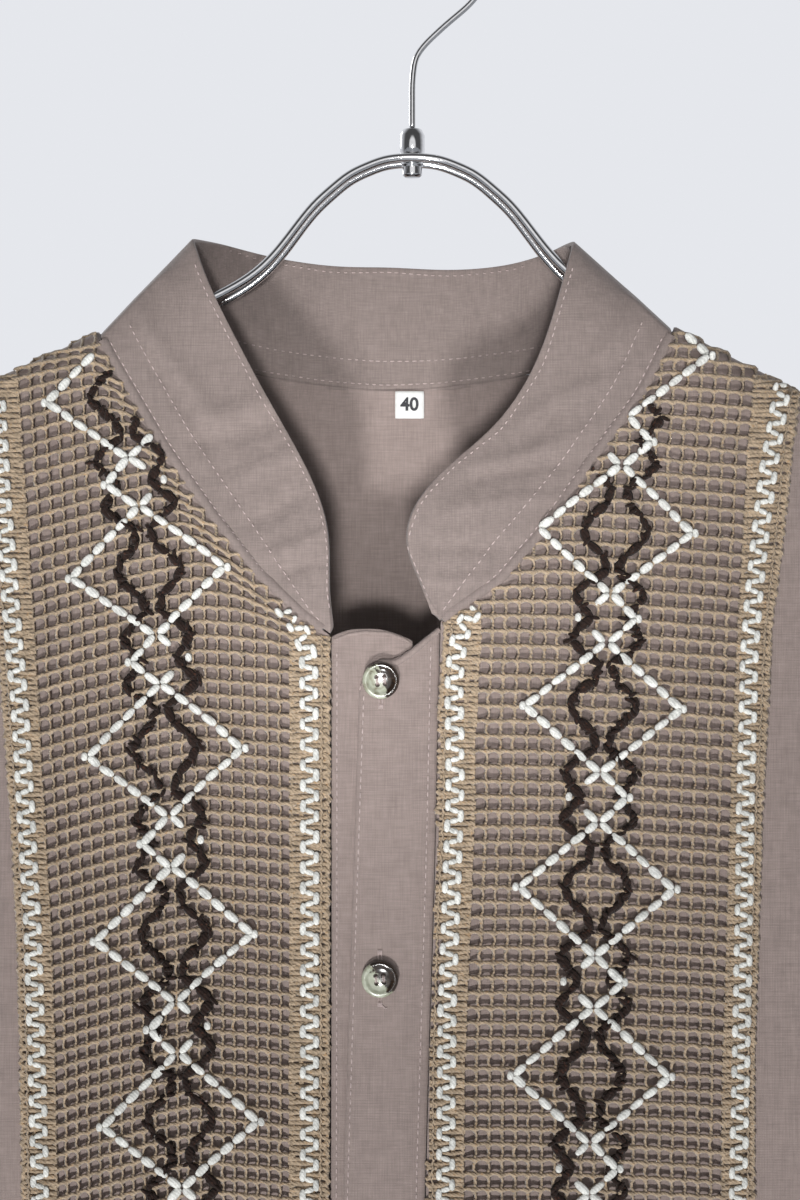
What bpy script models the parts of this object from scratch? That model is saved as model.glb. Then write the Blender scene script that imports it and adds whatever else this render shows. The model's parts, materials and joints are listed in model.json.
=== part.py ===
"""Mandarin collar shirt with crochet net panels on its fronts, hanging on a wire hanger.

Sizes are in millimetres and become metres when a mesh is made. The shirt faces -Y, +X is the viewer's right,
+Z is up, and the origin is the inner crown of the hanger's hook. A drop is a depth below that origin.
"""

import math

import bpy
import numpy as np
from mathutils import Vector

MM = 0.001

# Walls and gaps
CLOTH = 1.5
COLLAR_CLOTH = 1.8
NET = 1.6
LABEL_CLOTH = 1.0
SEAM = 0.5
LAID_ON = 0.3
FOLD_HALF_GAP = 0.2

# The shirt on the hanger: it hangs a little to the viewer's left of the hook
SHIRT_X = -9.0
HEM_DROP = 865.0
HEM_RISE = 12.0
NECK_LEFT_X, NECK_LEFT_DROP, LEFT_SLOPE = -108.0, 145.0, 0.456
NECK_RIGHT_X, NECK_RIGHT_DROP, RIGHT_SLOPE = 90.0, 143.2, 0.523
SHOULDER_HALF = 229.0
UNDERARM_HALF, UNDERARM_DROP = 268.0, 430.0
HEM_HALF = 284.0

# Depth of the cloth from the shoulder line: a flat-topped arch over the wires, then a soft belly
ARCH_DEPTH, ARCH_DROP, ARCH_POWER = 15.5, 12.0, 3.0
FRONT_BELLY, FRONT_BELLY_DROP, FRONT_BELLY_HALF = 22.0, 150.0, 150.0
BACK_BELLY, BACK_BELLY_DROP, BACK_BELLY_HALF = 26.0, 60.0, 120.0
BACK_EASE, BACK_EASE_DROP = 0.4, 400.0
SIDE_TAPER, SIDE_POWER = 120.0, 0.8
# Past the wires' ends the arch gives way to a softer fold
ARCH_FADE_FROM, SOFT_DEPTH, SOFT_DROP = 198.0, 14.0, 25.0
SIDE_FLARE = 0.5
FOLD_GROWTH = 300.0

# Soft folds: x at the top, x at the hem, drop where it starts, half width, height
FRONT_FOLDS = [
    (-242, -262, 330, 17, 6),
    (-185, -200, 230, 22, 8),
    (-135, -142, 420, 16, -5),
    (-80, -88, 330, 30, 5),
    (62, 70, 380, 28, 4),
    (118, 124, 420, 18, -5),
    (163, 178, 200, 22, 9),
    (218, 238, 330, 16, 6),
]
BACK_FOLDS = [
    (-200, -222, 260, 24, 9),
    (-155, -168, 420, 18, -5),
    (-110, -120, 330, 22, 7),
    (-30, -35, 300, 30, 6),
    (20, 22, 450, 20, -5),
    (70, 75, 350, 24, 7),
    (120, 130, 420, 18, -4),
    (172, 195, 260, 22, 9),
]

# Lines down the fronts, by drop: left net's outer edge, its inner edge, the over-placket's left and right
# edges, the right net's outer edge
DROP, NET_LEFT, UNDER_LEFT, OVER_LEFT, OVER_RIGHT, NET_RIGHT = range(6)
FRONT_LINES = [
    (150, -148.0, -27.4, -17.0, 10.6, 133.0),
    (205, -143.0, -27.4, -17.0, 10.6, 125.5),
    (245, -140.0, -27.4, -17.0, 9.0, 120.5),
    (308, -136.0, -27.4, -19.0, 7.7, 117.5),
    (347, -134.0, -27.4, -20.3, 6.6, 116.0),
    (433, -130.5, -27.6, -23.0, 4.0, 114.5),
    (600, -128.0, -29.0, -25.0, 2.2, 113.0),
    (865, -126.0, -31.0, -27.0, 0.2, 112.0),
]

# Neck seam, by x: its drop on the left front, the right front and the back
LEFT_SEAM = [(-108, 145), (-98, 162), (-83.5, 186), (-66, 210), (-51, 228.5), (-37, 241.5), (-27.4, 248.2)]
RIGHT_SEAM = [(7.3, 245), (14, 240), (29, 230), (44, 213), (63, 186), (77.5, 167), (90, 143.2)]
BACK_SEAM = [
    (-108, 145),
    (-104, 145.8),
    (-98, 147),
    (-80, 150.5),
    (-57, 156),
    (-30, 159.5),
    (-9, 160.5),
    (14, 159.5),
    (44, 156),
    (68, 150),
    (80, 146.3),
    (86, 144.4),
    (90, 143.2),
]

# The collar's top edge as x, y, drop: from each front end to the shoulder crease, and along the back
LEFT_TOP = [
    (-26.6, -39.0, 245.2),
    (-28.0, -38.5, 233.0),
    (-27.3, -36.0, 217.0),
    (-30.0, -31.5, 204.0),
    (-38.0, -26.0, 187.0),
    (-50.0, -20.0, 167.0),
    (-62.5, -16.0, 143.0),
    (-70.0, -15.0, 128.0),
    (-75.0, -8.0, 114.0),
    (-76.3, 0.0, 111.5),
]
BACK_TOP = [
    (-73.5, 7.0, 111.0),
    (-70.5, 13.0, 110.6),
    (-64.0, 20.0, 110.8),
    (-52.0, 32.0, 113.0),
    (-28.0, 45.0, 115.0),
    (-8.0, 48.0, 114.0),
    (13.0, 47.0, 116.0),
    (36.0, 37.0, 115.5),
    (49.0, 21.0, 112.8),
    (52.5, 13.0, 112.0),
    (54.5, 7.0, 112.0),
]
RIGHT_TOP = [
    (55.8, 0.0, 112.5),
    (55.0, -9.0, 115.0),
    (50.5, -17.5, 130.0),
    (43.0, -19.5, 156.0),
    (29.2, -27.0, 177.9),
    (12.5, -36.0, 191.0),
    (0.5, -44.5, 203.5),
    (-3.8, -46.5, 217.5),
    (3.0, -43.5, 232.0),
    (7.0, -41.0, 241.0),
]
COLLAR_ROWS = 4
# Round the shoulder, where the band is this near the middle plane, its seam gap is wider
CORNER_DEPTH, CORNER_SEAM = 16.0, 1.2

# Tops of the plackets, by x
UNDER_TOP = [(-27.4, 249.0), (-23.5, 246.2), (-9.2, 246.0), (-1.0, 250.0)]
OVER_TOP = [(-18.2, 264.6), (-16.5, 259.0), (-11.5, 256.4), (-6.0, 256.4), (-1.0, 253.0), (8.0, 245.5)]
PLACKET_ROWS_FROM = 275.0
OVERLAP_LIFT_FROM, OVERLAP_LIFT_LENGTH = 8.0, 6.5
UNDER_TUCK = 9.0

# Grid of a sheet: rows close together over the wires, then even ones to the hem
NEAR_ROWS = (0.0, 1.2, 3.5, 7.0, 12.0, 20.0, 34.0, 54.0)
FAR_ROWS = 14
NECK_COLUMNS = 7
# Closer columns where the neck seam rounds the shoulder: distances from the neck point
NECK_CORNER = (5.5, 2.0, 0.0)
NECK_STATIONS = NECK_COLUMNS + len(NECK_CORNER)
NET_OUTER_COLUMNS = 3
NET_TOP_ROW = 2
SHOULDER_COLUMNS = 2
ARMHOLE_STOPS = (0.0, 0.05, 0.14, 0.27, 0.42, 0.58, 0.74, 0.88, 0.96, 1.0)
ARMHOLE_POWER = 1.15
FAN_OUT = 0.5

# Short sleeve: points of its top fold and of its underarm line from the armhole to the cuff, as x from the
# shirt's centre and drop, with the half depth of the tube there
SLEEVE = [
    (229, 0, 268, 430, 15),
    (245, 210, 275, 443, 15),
    (270, 228, 281, 461, 15),
    (296, 252, 286, 479, 14),
    (322, 281, 290, 496, 14),
    (347, 316, 293, 511, 13),
    (366, 349, 295, 523, 13),
    (378, 375, 297, 532, 12),
]
# Soft waves across the sleeve, and how soon it leaves the armhole's own depth
SLEEVE_WAVE, SLEEVE_WAVES, SLEEVE_EASE = 0.25, 9.0, 1.6
SLEEVE_SEAM = 0.8

# Label, buttons
LABEL_X, LABEL_WIDTH, LABEL_HEIGHT = -0.8, 10.6, 10.0
BUTTON_RADIUS, BUTTON_THICKNESS, BUTTON_SIDES = 6.1, 3.0, 18
BUTTON_X, FIRST_BUTTON_DROP, BUTTON_PITCH, BUTTONS = -10.6, 263.0, 98.0, 6
BUTTON_DRIFT = -0.003

# Hanger
WIRE_RADIUS, HOOK_RADIUS = 1.65, 1.2
WIRE_SEAT = 4.5
# The wires lie deeper beside the neck, by this much, and rise to their seat over this distance
WIRE_NECK_SAG, WIRE_SAG_LENGTH = 2.8, 70.0
WIRE_HALF_GAP, WIRE_HALF_GAP_AT_BOSS, WIRE_SPREAD_END = 11.0, 5.9, 100.0
WIRE_END = 178.0
WIRE_STOPS = (5, 10, 16, 22, 28, 34, 40, 46, 52, 60, 72, 82, 92, 105, 125, 150)
# Wire's shape in the neck: distance from the hook's line, drop
WIRE_ARCH = [
    (0, 84.0), (5, 84.2), (11, 85.0), (22, 90.0), (34, 100.5), (42, 111.0), (49, 120.5), (57.5, 127.5),
]
BOSS = [
    (0, 90.0), (2.6, 90.0), (3.4, 89.2), (3.4, 86.4), (3.9, 85.8),
    (3.9, 81.9), (4.3, 81.2), (4.3, 75.5), (3.2, 73.3), (0, 73.3),
]
# Hook's route, x and drop, from the boss over the crook to its free end
HOOK = [
    (0, 73),
    (0, 64),
    (0.2, 55),
    (2.2, 46.5),
    (11, 37.5),
    (20.5, 29.2),
    (25.3, 21),
    (24.5, 11),
    (18.5, 3.6),
    (9.5, -0.3),
    (0, -1.2),
    (-9.5, 1),
    (-16.5, 6.2),
    (-20.8, 13.5),
    (-22.8, 21),
]


def smooth(share):
    """Ease from 0 to 1."""
    share = min(max(share, 0.0), 1.0)
    return share * share * (3 - 2 * share)


def mix(first, second, share):
    return first + (second - first) * share


def look_up(table, key, column=1):
    """Read a table's column by its first column, straight between rows."""
    return float(np.interp(key, [row[0] for row in table], [row[column] for row in table]))


def line(column, z):
    """X of one of the lines down the fronts."""
    return look_up(FRONT_LINES, -z, column)


def ridge(x):
    """Underside of the cloth along the shoulder line, carried on through the neck."""
    if x < SHIRT_X:
        return -NECK_LEFT_DROP + LEFT_SLOPE * (x - NECK_LEFT_X)
    return -NECK_RIGHT_DROP - RIGHT_SLOPE * (x - NECK_RIGHT_X)


def side_half(z):
    """Half width at the side seam, carried on up past the underarm."""
    below = -UNDERARM_DROP - z
    if below < 0:
        return UNDERARM_HALF - SIDE_FLARE * below
    return mix(UNDERARM_HALF, HEM_HALF, below / (HEM_DROP - UNDERARM_DROP))


def fold_height(folds, x, z):
    """Sum of the soft folds at a place on a sheet."""
    total = 0.0
    for top_x, hem_x, start, half_width, height in folds:
        middle = mix(top_x, hem_x, -z / HEM_DROP)
        growth = smooth((-z - start) / FOLD_GROWTH)
        total += height * growth * math.exp(-(((x - middle) / half_width) ** 2))
    return total


def depth(x, z, front):
    """Half depth of the hollow: how far the sheet's inner face lies from the shirt's middle plane."""
    drop = max(ridge(x) - z, 0.0)
    near = min(drop / ARCH_DROP, 1.0)
    arch = ARCH_DEPTH * (1 - (1 - near) ** ARCH_POWER) ** (1 / ARCH_POWER)
    across = abs(x - SHIRT_X)
    soft = SOFT_DEPTH * (1 - math.exp(-drop / SOFT_DROP))
    arch = mix(arch, soft, smooth((across - ARCH_FADE_FROM) / (SHOULDER_HALF - ARCH_FADE_FROM)))
    if front:
        belly = FRONT_BELLY * smooth(drop / FRONT_BELLY_DROP) * math.exp(-((across / FRONT_BELLY_HALF) ** 2))
        folds = fold_height(FRONT_FOLDS, x, z)
    else:
        belly = BACK_BELLY * smooth(drop / BACK_BELLY_DROP) * math.exp(-((across / BACK_BELLY_HALF) ** 2))
        belly *= 1 - BACK_EASE * smooth(drop / BACK_EASE_DROP)
        folds = fold_height(BACK_FOLDS, x, z)
    room = min(max((side_half(z) - across) / SIDE_TAPER, 0.0), 1.0)
    return (arch + belly + folds) * math.sin(room * math.pi / 2) ** SIDE_POWER


def on_sheet(x, z, front, lift=0.0):
    """A point on the inner face of the front or the back, moved out by lift."""
    y = FOLD_HALF_GAP + depth(x, z, front) + lift
    return np.array((x, -y if front else y, z))


def hem_z(x):
    return -HEM_DROP + HEM_RISE * ((x - SHIRT_X) / HEM_HALF) ** 2


def rows_down(top_z, bottom_z):
    """Heights of a column's rows."""
    near = [top_z - step for step in NEAR_ROWS]
    far = [mix(near[-1], bottom_z, (row + 1) / FAR_ROWS) for row in range(FAR_ROWS)]
    return near + far


def armhole(stop, side):
    """A point on the armhole, from the shoulder tip at 0 to the underarm at 1."""
    across = mix(SHOULDER_HALF, UNDERARM_HALF, stop ** ARMHOLE_POWER)
    tip_z = ridge(SHIRT_X + side * SHOULDER_HALF)
    return SHIRT_X + side * across, mix(tip_z, -UNDERARM_DROP, stop)


def outer_columns(start_top, side, shoulder_columns):
    """Columns from a point on the shoulder to the side seam, as (x, z) rows."""
    start_x, start_hem_x = start_top
    end_x = SHIRT_X + side * UNDERARM_HALF
    end_hem_x = SHIRT_X + side * HEM_HALF
    tip_x = SHIRT_X + side * SHOULDER_HALF
    tops = []
    for step in range(1, shoulder_columns):
        x = mix(start_x, tip_x, step / shoulder_columns)
        tops.append((x, ridge(x)))
    tops += [armhole(stop, side) for stop in ARMHOLE_STOPS]
    columns = []
    for number, (x, z) in enumerate(tops):
        share = mix((x - start_x) / (end_x - start_x), (number + 1) / len(tops), FAN_OUT)
        foot_x = mix(start_hem_x, end_hem_x, share)
        heights = rows_down(z, hem_z(foot_x))
        columns.append([(mix(x, foot_x, (z - row_z) / (z - heights[-1])), row_z) for row_z in heights])
    return columns


def net_column(inner, outer, share, seam):
    """A column that runs under a net panel at a share of its width."""
    z = -NECK_LEFT_DROP
    for _ in range(12):
        x = mix(line(inner, z), line(outer, z), share)
        in_neck = seam[0][0] <= x <= seam[-1][0]
        z = -look_up(seam, x) if in_neck else ridge(x)
    heights = rows_down(z, hem_z(x))
    return [(mix(line(inner, row_z), line(outer, row_z), share), row_z) for row_z in heights]


def front_grid(side):
    """Inner face of a front: columns from the placket to the side seam, rows from the top to the hem."""
    if side < 0:
        inner, outer, seam, neck_x = UNDER_LEFT, NET_LEFT, LEFT_SEAM, NECK_LEFT_X
    else:
        inner, outer, seam, neck_x = OVER_RIGHT, NET_RIGHT, RIGHT_SEAM, NECK_RIGHT_X
    start_x = line(inner, ridge(neck_x))
    neck_share = (neck_x - start_x) / (line(outer, ridge(neck_x)) - start_x)
    shares = [neck_share * step / NECK_COLUMNS for step in range(NECK_COLUMNS)]
    shares += [neck_share * (1 - corner / abs(neck_x - start_x)) for corner in NECK_CORNER]
    shares += [mix(neck_share, 1.0, (step + 1) / NET_OUTER_COLUMNS) for step in range(NET_OUTER_COLUMNS)]
    columns = [net_column(inner, outer, share, seam) for share in shares]
    edge = columns[-1]
    columns += outer_columns((edge[0][0], edge[-1][0]), side, SHOULDER_COLUMNS)
    return np.array([[on_sheet(x, z, True) for x, z in column] for column in columns])


def back_grid():
    """Inner face of the back, from the left side seam to the right one."""
    neck = []
    for x, drop in BACK_SEAM:
        heights = rows_down(-drop, hem_z(x))
        neck.append([(x, row_z) for row_z in heights])
    left = outer_columns((NECK_LEFT_X, NECK_LEFT_X), -1, 2 * SHOULDER_COLUMNS)
    right = outer_columns((NECK_RIGHT_X, NECK_RIGHT_X), 1, 2 * SHOULDER_COLUMNS)
    columns = left[::-1] + neck + right
    return np.array([[on_sheet(x, z, False) for x, z in column] for column in columns]), len(left)


def normals(grid, closed=False):
    """Unit normals of a grid of points, along columns crossed with rows."""
    if closed:
        along = np.roll(grid, -1, axis=0) - np.roll(grid, 1, axis=0)
    else:
        along = np.gradient(grid, axis=0)
    down = np.gradient(grid, axis=1)
    across = np.cross(along, down)
    return across / np.linalg.norm(across, axis=2, keepdims=True)


def new_object(name, points, faces, material):
    """Make a mesh object from points in millimetres."""
    mesh = bpy.data.meshes.new(name)
    mesh.from_pydata([Vector(point) * MM for point in points], [], faces)
    mesh.materials.append(material)
    mesh.validate()
    mesh.shade_smooth()
    mesh.set_sharp_from_angle(angle=math.radians(50))
    made = bpy.data.objects.new(name, mesh)
    bpy.context.collection.objects.link(made)
    return made


def wall_object(name, inner, outer, material, closed=False):
    """A closed wall between two grids of points, whose outer grid faces along the normals."""
    columns, rows = inner.shape[:2]
    count = columns * rows
    faces = []

    def at(column, row, layer):
        return layer * count + (column % columns) * rows + row

    def strip(a, b, c, d):
        faces.append((a, b, c))
        faces.append((a, c, d))

    for column in range(columns if closed else columns - 1):
        after = column + 1
        for row in range(rows - 1):
            strip(at(column, row, 1), at(after, row, 1), at(after, row + 1, 1), at(column, row + 1, 1))
            strip(at(after, row + 1, 0), at(after, row, 0), at(column, row, 0), at(column, row + 1, 0))
        strip(at(column, 0, 0), at(after, 0, 0), at(after, 0, 1), at(column, 0, 1))
        last = rows - 1
        strip(at(column, last, 1), at(after, last, 1), at(after, last, 0), at(column, last, 0))
    if not closed:
        end = columns - 1
        for row in range(rows - 1):
            strip(at(0, row, 0), at(0, row, 1), at(0, row + 1, 1), at(0, row + 1, 0))
            strip(at(end, row, 1), at(end, row, 0), at(end, row + 1, 0), at(end, row + 1, 1))
    points = np.concatenate([inner.reshape(-1, 3), outer.reshape(-1, 3)])
    return new_object(name, points, faces, material)


def moved_out(grid, distance, mirrored=False, closed=False):
    """The grid moved along its outward normals. A mirrored grid runs right to left as seen from outside."""
    direction = -1.0 if mirrored else 1.0
    return grid + normals(grid, closed) * (distance * direction)


def sheet(name, grid, thickness, material, mirrored=False):
    """A cloth wall outward from its inner face; returns both faces' points."""
    outer = moved_out(grid, thickness, mirrored)
    turn = slice(None, None, -1) if mirrored else slice(None)
    wall_object(name, grid[turn], outer[turn], material)
    return grid, outer


def laid_on(name, faces, columns, material, mirrored):
    """A panel over some columns of a sheet, made from the sheet's own points."""
    inner, outer = faces
    direction = outer - inner
    direction /= np.linalg.norm(direction, axis=2, keepdims=True)
    below = (outer + direction * LAID_ON)[columns, NET_TOP_ROW:]
    above = (outer + direction * (LAID_ON + NET))[columns, NET_TOP_ROW:]
    turn = slice(None, None, -1) if mirrored else slice(None)
    wall_object(name, below[turn], above[turn], material)


def placket_grid(left, right, top, lift):
    """Inner face of a placket between two edge functions, with even rows below its shaped top."""
    columns = []
    for step in range(6):
        share = step / 5
        top_z = -look_up(top, mix(left(-PLACKET_ROWS_FROM), right(-PLACKET_ROWS_FROM), share))
        heights = [mix(top_z, -PLACKET_ROWS_FROM, row / 3) for row in range(3)]
        even_rows = len(NEAR_ROWS) + FAR_ROWS - 3
        heights += [mix(-PLACKET_ROWS_FROM, hem_z(SHIRT_X), row / even_rows) for row in range(even_rows + 1)]
        column = []
        for z in heights:
            x = mix(left(z), right(z), share)
            column.append(on_sheet(x, z, True, lift(x, z)))
        columns.append(column)
    return np.array(columns)


def overlap_lift(x, z):
    """How far the over-placket lies above the fronts: flush at its right edge, over the other to the left."""
    from_right = line(OVER_RIGHT, z) - x
    past_start = from_right - (OVERLAP_LIFT_FROM - OVERLAP_LIFT_LENGTH)
    return (CLOTH + SEAM) * smooth(past_start / OVERLAP_LIFT_LENGTH)


def make_plackets(material):
    under = placket_grid(
        lambda z: line(UNDER_LEFT, z) + SEAM,
        lambda z: line(OVER_RIGHT, z) - UNDER_TUCK,
        UNDER_TOP,
        lambda x, z: 0.0,
    )
    over = placket_grid(
        lambda z: line(OVER_LEFT, z),
        lambda z: line(OVER_RIGHT, z) - SEAM,
        OVER_TOP,
        overlap_lift,
    )
    sheet("placket_under", under, CLOTH, material, mirrored=True)
    sheet("placket_over", over, CLOTH, material, mirrored=True)


def make_collar(left, right, back, back_first, material):
    """The standing band: its base shares the necks' points, its rows run straight to the top edge."""
    count = NECK_STATIONS
    neck = slice(back_first + 1, back_first + len(BACK_SEAM) - 1)
    crease_left = [(left[face][count - 1, 0] + back[face][back_first, 0]) / 2 for face in range(2)]
    last = back_first + len(BACK_SEAM) - 1
    crease_right = [(right[face][count - 1, 0] + back[face][last, 0]) / 2 for face in range(2)]
    base = []
    for face in range(2):
        points = list(left[face][: count - 1, 0]) + [crease_left[face]]
        points += list(back[face][neck, 0]) + [crease_right[face]]
        points += list(right[face][: count - 1, 0][::-1])
        base.append(np.array(points))
    top = np.array([(x, y, -drop) for x, y, drop in LEFT_TOP + BACK_TOP + RIGHT_TOP])
    middle = (base[0] + base[1]) / 2
    rise = top - middle
    rise /= np.linalg.norm(rise, axis=1, keepdims=True)
    corner = np.abs(base[0][:, 1]) < CORNER_DEPTH
    gap = np.where(corner, CORNER_SEAM, SEAM)[:, None]
    rows = [middle + rise * gap]
    rows += [mix(rows[0], top, (row + 1) / COLLAR_ROWS) for row in range(COLLAR_ROWS)]
    grid = np.stack(rows, axis=1)[:, ::-1]
    inner = moved_out(grid, -COLLAR_CLOTH / 2)
    outer = moved_out(grid, COLLAR_CLOTH / 2)
    inner[:, -1] = base[0] + rise * gap
    outer[:, -1] = base[1] + rise * gap
    wall_object("collar", inner, outer, material)


def sleeve_rows(side):
    """Sections of a sleeve: top point, underarm point and half depth of each."""
    tip_drop = -ridge(SHIRT_X + side * SHOULDER_HALF)
    rows = [(SHOULDER_HALF, tip_drop, UNDERARM_HALF, UNDERARM_DROP, SLEEVE[0][4])]
    return rows + [tuple(row) for row in SLEEVE[1:]]


def make_sleeve(name, side, front, back, back_columns, material):
    """A flattened tube whose first ring shares the armhole's points."""
    stops = len(ARMHOLE_STOPS)
    rings = []
    for face in range(2):
        ring = list(front[face][-stops:, 0]) + list(back[face][back_columns, 0])[::-1]
        rings.append(np.array(ring))
    shares = list(ARMHOLE_STOPS) + list(ARMHOLE_STOPS)[::-1]
    facing = [-1.0] * stops + [1.0] * stops
    rows = sleeve_rows(side)
    away = np.array([(side, 0.0, mix(-0.45, -0.1, share)) for share in shares])
    grid = [rings[0] + away * SLEEVE_SEAM]
    for number in range(1, len(rows)):
        top_x, top_drop, low_x, low_drop, half = rows[number]
        progress = number / (len(rows) - 1)
        ring = []
        for index, share in enumerate(shares):
            hole_x, hole_z = armhole(share, side)
            straight_x = SHIRT_X + side * mix(SHOULDER_HALF, UNDERARM_HALF, share)
            bow = (hole_x - straight_x) * (1 - progress)
            x = SHIRT_X + side * mix(top_x, low_x, share) + bow
            z = -mix(top_drop, low_drop, share)
            lens = half * math.sqrt(max(4 * share * (1 - share), 0.0))
            lens *= 1 + SLEEVE_WAVE * math.sin(SLEEVE_WAVES * share + 2 * facing[index])
            deep = mix(abs(rings[0][index][1]), lens + FOLD_HALF_GAP, smooth(progress * SLEEVE_EASE))
            ring.append((x, facing[index] * deep, z))
        grid.append(np.array(ring))
    grid = np.stack(grid, axis=1)
    mirrored = side < 0
    inner = grid
    outer = moved_out(grid, CLOTH, mirrored, closed=True)
    outer[:, 0] = rings[1] + away * SLEEVE_SEAM
    turn = slice(None, None, -1) if mirrored else slice(None)
    wall_object(name, inner[turn], outer[turn], material, closed=True)


def make_label(material):
    """A small tab hung from the back neck seam, inside the back."""
    grid = []
    top = -look_up(BACK_SEAM, LABEL_X) - 0.4
    for column in range(3):
        x = LABEL_X + LABEL_WIDTH * (column / 2 - 0.5)
        points = []
        for row in range(3):
            z = top - LABEL_HEIGHT * row / 2
            points.append(on_sheet(x, z, False, -0.8))
        grid.append(points)
    sheet("label", np.array(grid)[::-1], LABEL_CLOTH, material)


def turned(name, profile, sides, centre, axis, material):
    """A solid turned from (radius, height) points that start and end on its axis."""
    points = [(0.0, 0.0, profile[0][1])]
    for radius, height in profile[1:-1]:
        for step in range(sides):
            angle = 2 * math.pi * step / sides
            points.append((radius * math.cos(angle), radius * math.sin(angle), height))
    points.append((0.0, 0.0, profile[-1][1]))
    faces = [(0, 1 + (step + 1) % sides, 1 + step) for step in range(sides)]
    rings = len(profile) - 2
    for ring in range(rings - 1):
        low = 1 + ring * sides
        for step in range(sides):
            after = (step + 1) % sides
            faces.append((low + step, low + after, low + sides + after, low + sides + step))
    last = 1 + (rings - 1) * sides
    faces += [(last + step, last + (step + 1) % sides, len(points) - 1) for step in range(sides)]
    turn = Vector((0, 0, 1)).rotation_difference(Vector(axis))
    placed = [turn @ Vector(point) + Vector(centre) for point in points]
    return new_object(name, placed, faces, material)


def make_buttons(material):
    """Buttons with a raised rim and a dished middle, lying on the over-placket."""
    radius, thick = BUTTON_RADIUS, BUTTON_THICKNESS
    profile = [(0, 0), (radius * 0.75, 0), (radius, thick * 0.45), (radius * 0.9, thick)]
    profile += [(radius * 0.68, thick), (radius * 0.5, thick * 0.7), (0, thick * 0.7)]
    for number in range(BUTTONS):
        z = -FIRST_BUTTON_DROP - BUTTON_PITCH * number
        x = BUTTON_X + BUTTON_DRIFT * BUTTON_PITCH * number
        surface = on_sheet(x, z, True, overlap_lift(x, z) + CLOTH + LAID_ON)
        turned(f"button_{number + 1}", profile, BUTTON_SIDES, surface, (0, -1, 0), material)


def tube(name, route, radius, sides, material, closed=False):
    """A round wire along a route of points."""
    count = len(route)
    points, faces = [], []
    side_way = Vector((0, 1, 0))
    for number, centre in enumerate(route):
        before = route[(number - 1) % count] if closed or number else centre
        after = route[(number + 1) % count] if closed or number < count - 1 else centre
        forward = (Vector(after) - Vector(before)).normalized()
        side_way = (side_way - forward * side_way.dot(forward)).normalized()
        up = forward.cross(side_way)
        for step in range(sides):
            angle = 2 * math.pi * step / sides
            offset = side_way * math.cos(angle) + up * math.sin(angle)
            points.append(Vector(centre) + offset * radius)
    for ring in range(count if closed else count - 1):
        first, second = ring * sides, ((ring + 1) % count) * sides
        for step in range(sides):
            after = (step + 1) % sides
            faces.append((first + step, first + after, second + after, second + step))
    if not closed:
        faces.append(tuple(reversed(range(sides))))
        faces.append(tuple(range((count - 1) * sides, count * sides)))
    return new_object(name, points, faces, material)


def spline(points, steps):
    """Points of a smooth curve through the given ones."""
    ends = [2 * Vector(points[0]) - Vector(points[1]), 2 * Vector(points[-1]) - Vector(points[-2])]
    through = [ends[0]] + [Vector(point) for point in points] + [ends[1]]
    made = []
    for number in range(1, len(through) - 2):
        a, b, c, d = through[number - 1 : number + 3]
        for step in range(steps):
            t = step / steps
            square = 2 * a - 5 * b + 4 * c - d
            cube = 3 * b - a - 3 * c + d
            made.append(0.5 * (2 * b + (c - a) * t + square * t**2 + cube * t**3))
    return made + [through[-2]]


def wire_z(x):
    """Height of the hanger's wires: its own arch in the neck, then just under the cloth."""
    arch_end = WIRE_ARCH[-1][0]
    if abs(x) <= arch_end:
        return -look_up(WIRE_ARCH, abs(x))
    neck_x = NECK_LEFT_X if x < 0 else NECK_RIGHT_X
    past_neck = abs(x) - abs(neck_x)
    if past_neck >= 0:
        sag = WIRE_NECK_SAG * (1 - smooth(past_neck / WIRE_SAG_LENGTH))
        return ridge(x) - WIRE_SEAT - sag
    share = 1 + past_neck / (abs(neck_x) - arch_end)
    return mix(-WIRE_ARCH[-1][1], ridge(neck_x) - WIRE_SEAT - WIRE_NECK_SAG, share)


def wire_y(x):
    """Half the gap between the front and rear wires."""
    return mix(WIRE_HALF_GAP_AT_BOSS, WIRE_HALF_GAP, smooth((abs(x) - 4) / (WIRE_SPREAD_END - 4)))


def make_hanger(material):
    """Two wires joined at the ends into one loop, a boss between them and the hook."""
    stops = [-WIRE_END] + [-x for x in reversed(WIRE_STOPS)] + [0] + list(WIRE_STOPS) + [WIRE_END]
    front = [(x, -wire_y(x), wire_z(x)) for x in stops]
    rear = [(x, wire_y(x), wire_z(x)) for x in reversed(stops)]
    ends = {}
    for side in (-1, 1):
        bend = []
        for step in (1, 2, 3):
            angle = math.pi * step / 4
            x = side * (WIRE_END + WIRE_HALF_GAP * math.sin(angle))
            bend.append((x, -WIRE_HALF_GAP * math.cos(angle), wire_z(x)))
        ends[side] = bend
    route = front + ends[1] + rear + ends[-1][::-1]
    tube("hanger_wire", route, WIRE_RADIUS, 8, material, closed=True)
    boss = [(radius, -drop) for radius, drop in BOSS]
    turned("hanger_boss", boss, 16, (0, 0, 0), (0, 0, 1), material)
    tube("hanger_hook", spline([(x, 0, -drop) for x, drop in HOOK], 3), HOOK_RADIUS, 8, material)


def material(name, colour, roughness, metallic=0.0):
    made = bpy.data.materials.new(name)
    made.use_nodes = True
    shader = made.node_tree.nodes["Principled BSDF"]
    shader.inputs["Base Color"].default_value = (*colour, 1.0)
    shader.inputs["Roughness"].default_value = roughness
    shader.inputs["Metallic"].default_value = metallic
    return made


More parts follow.
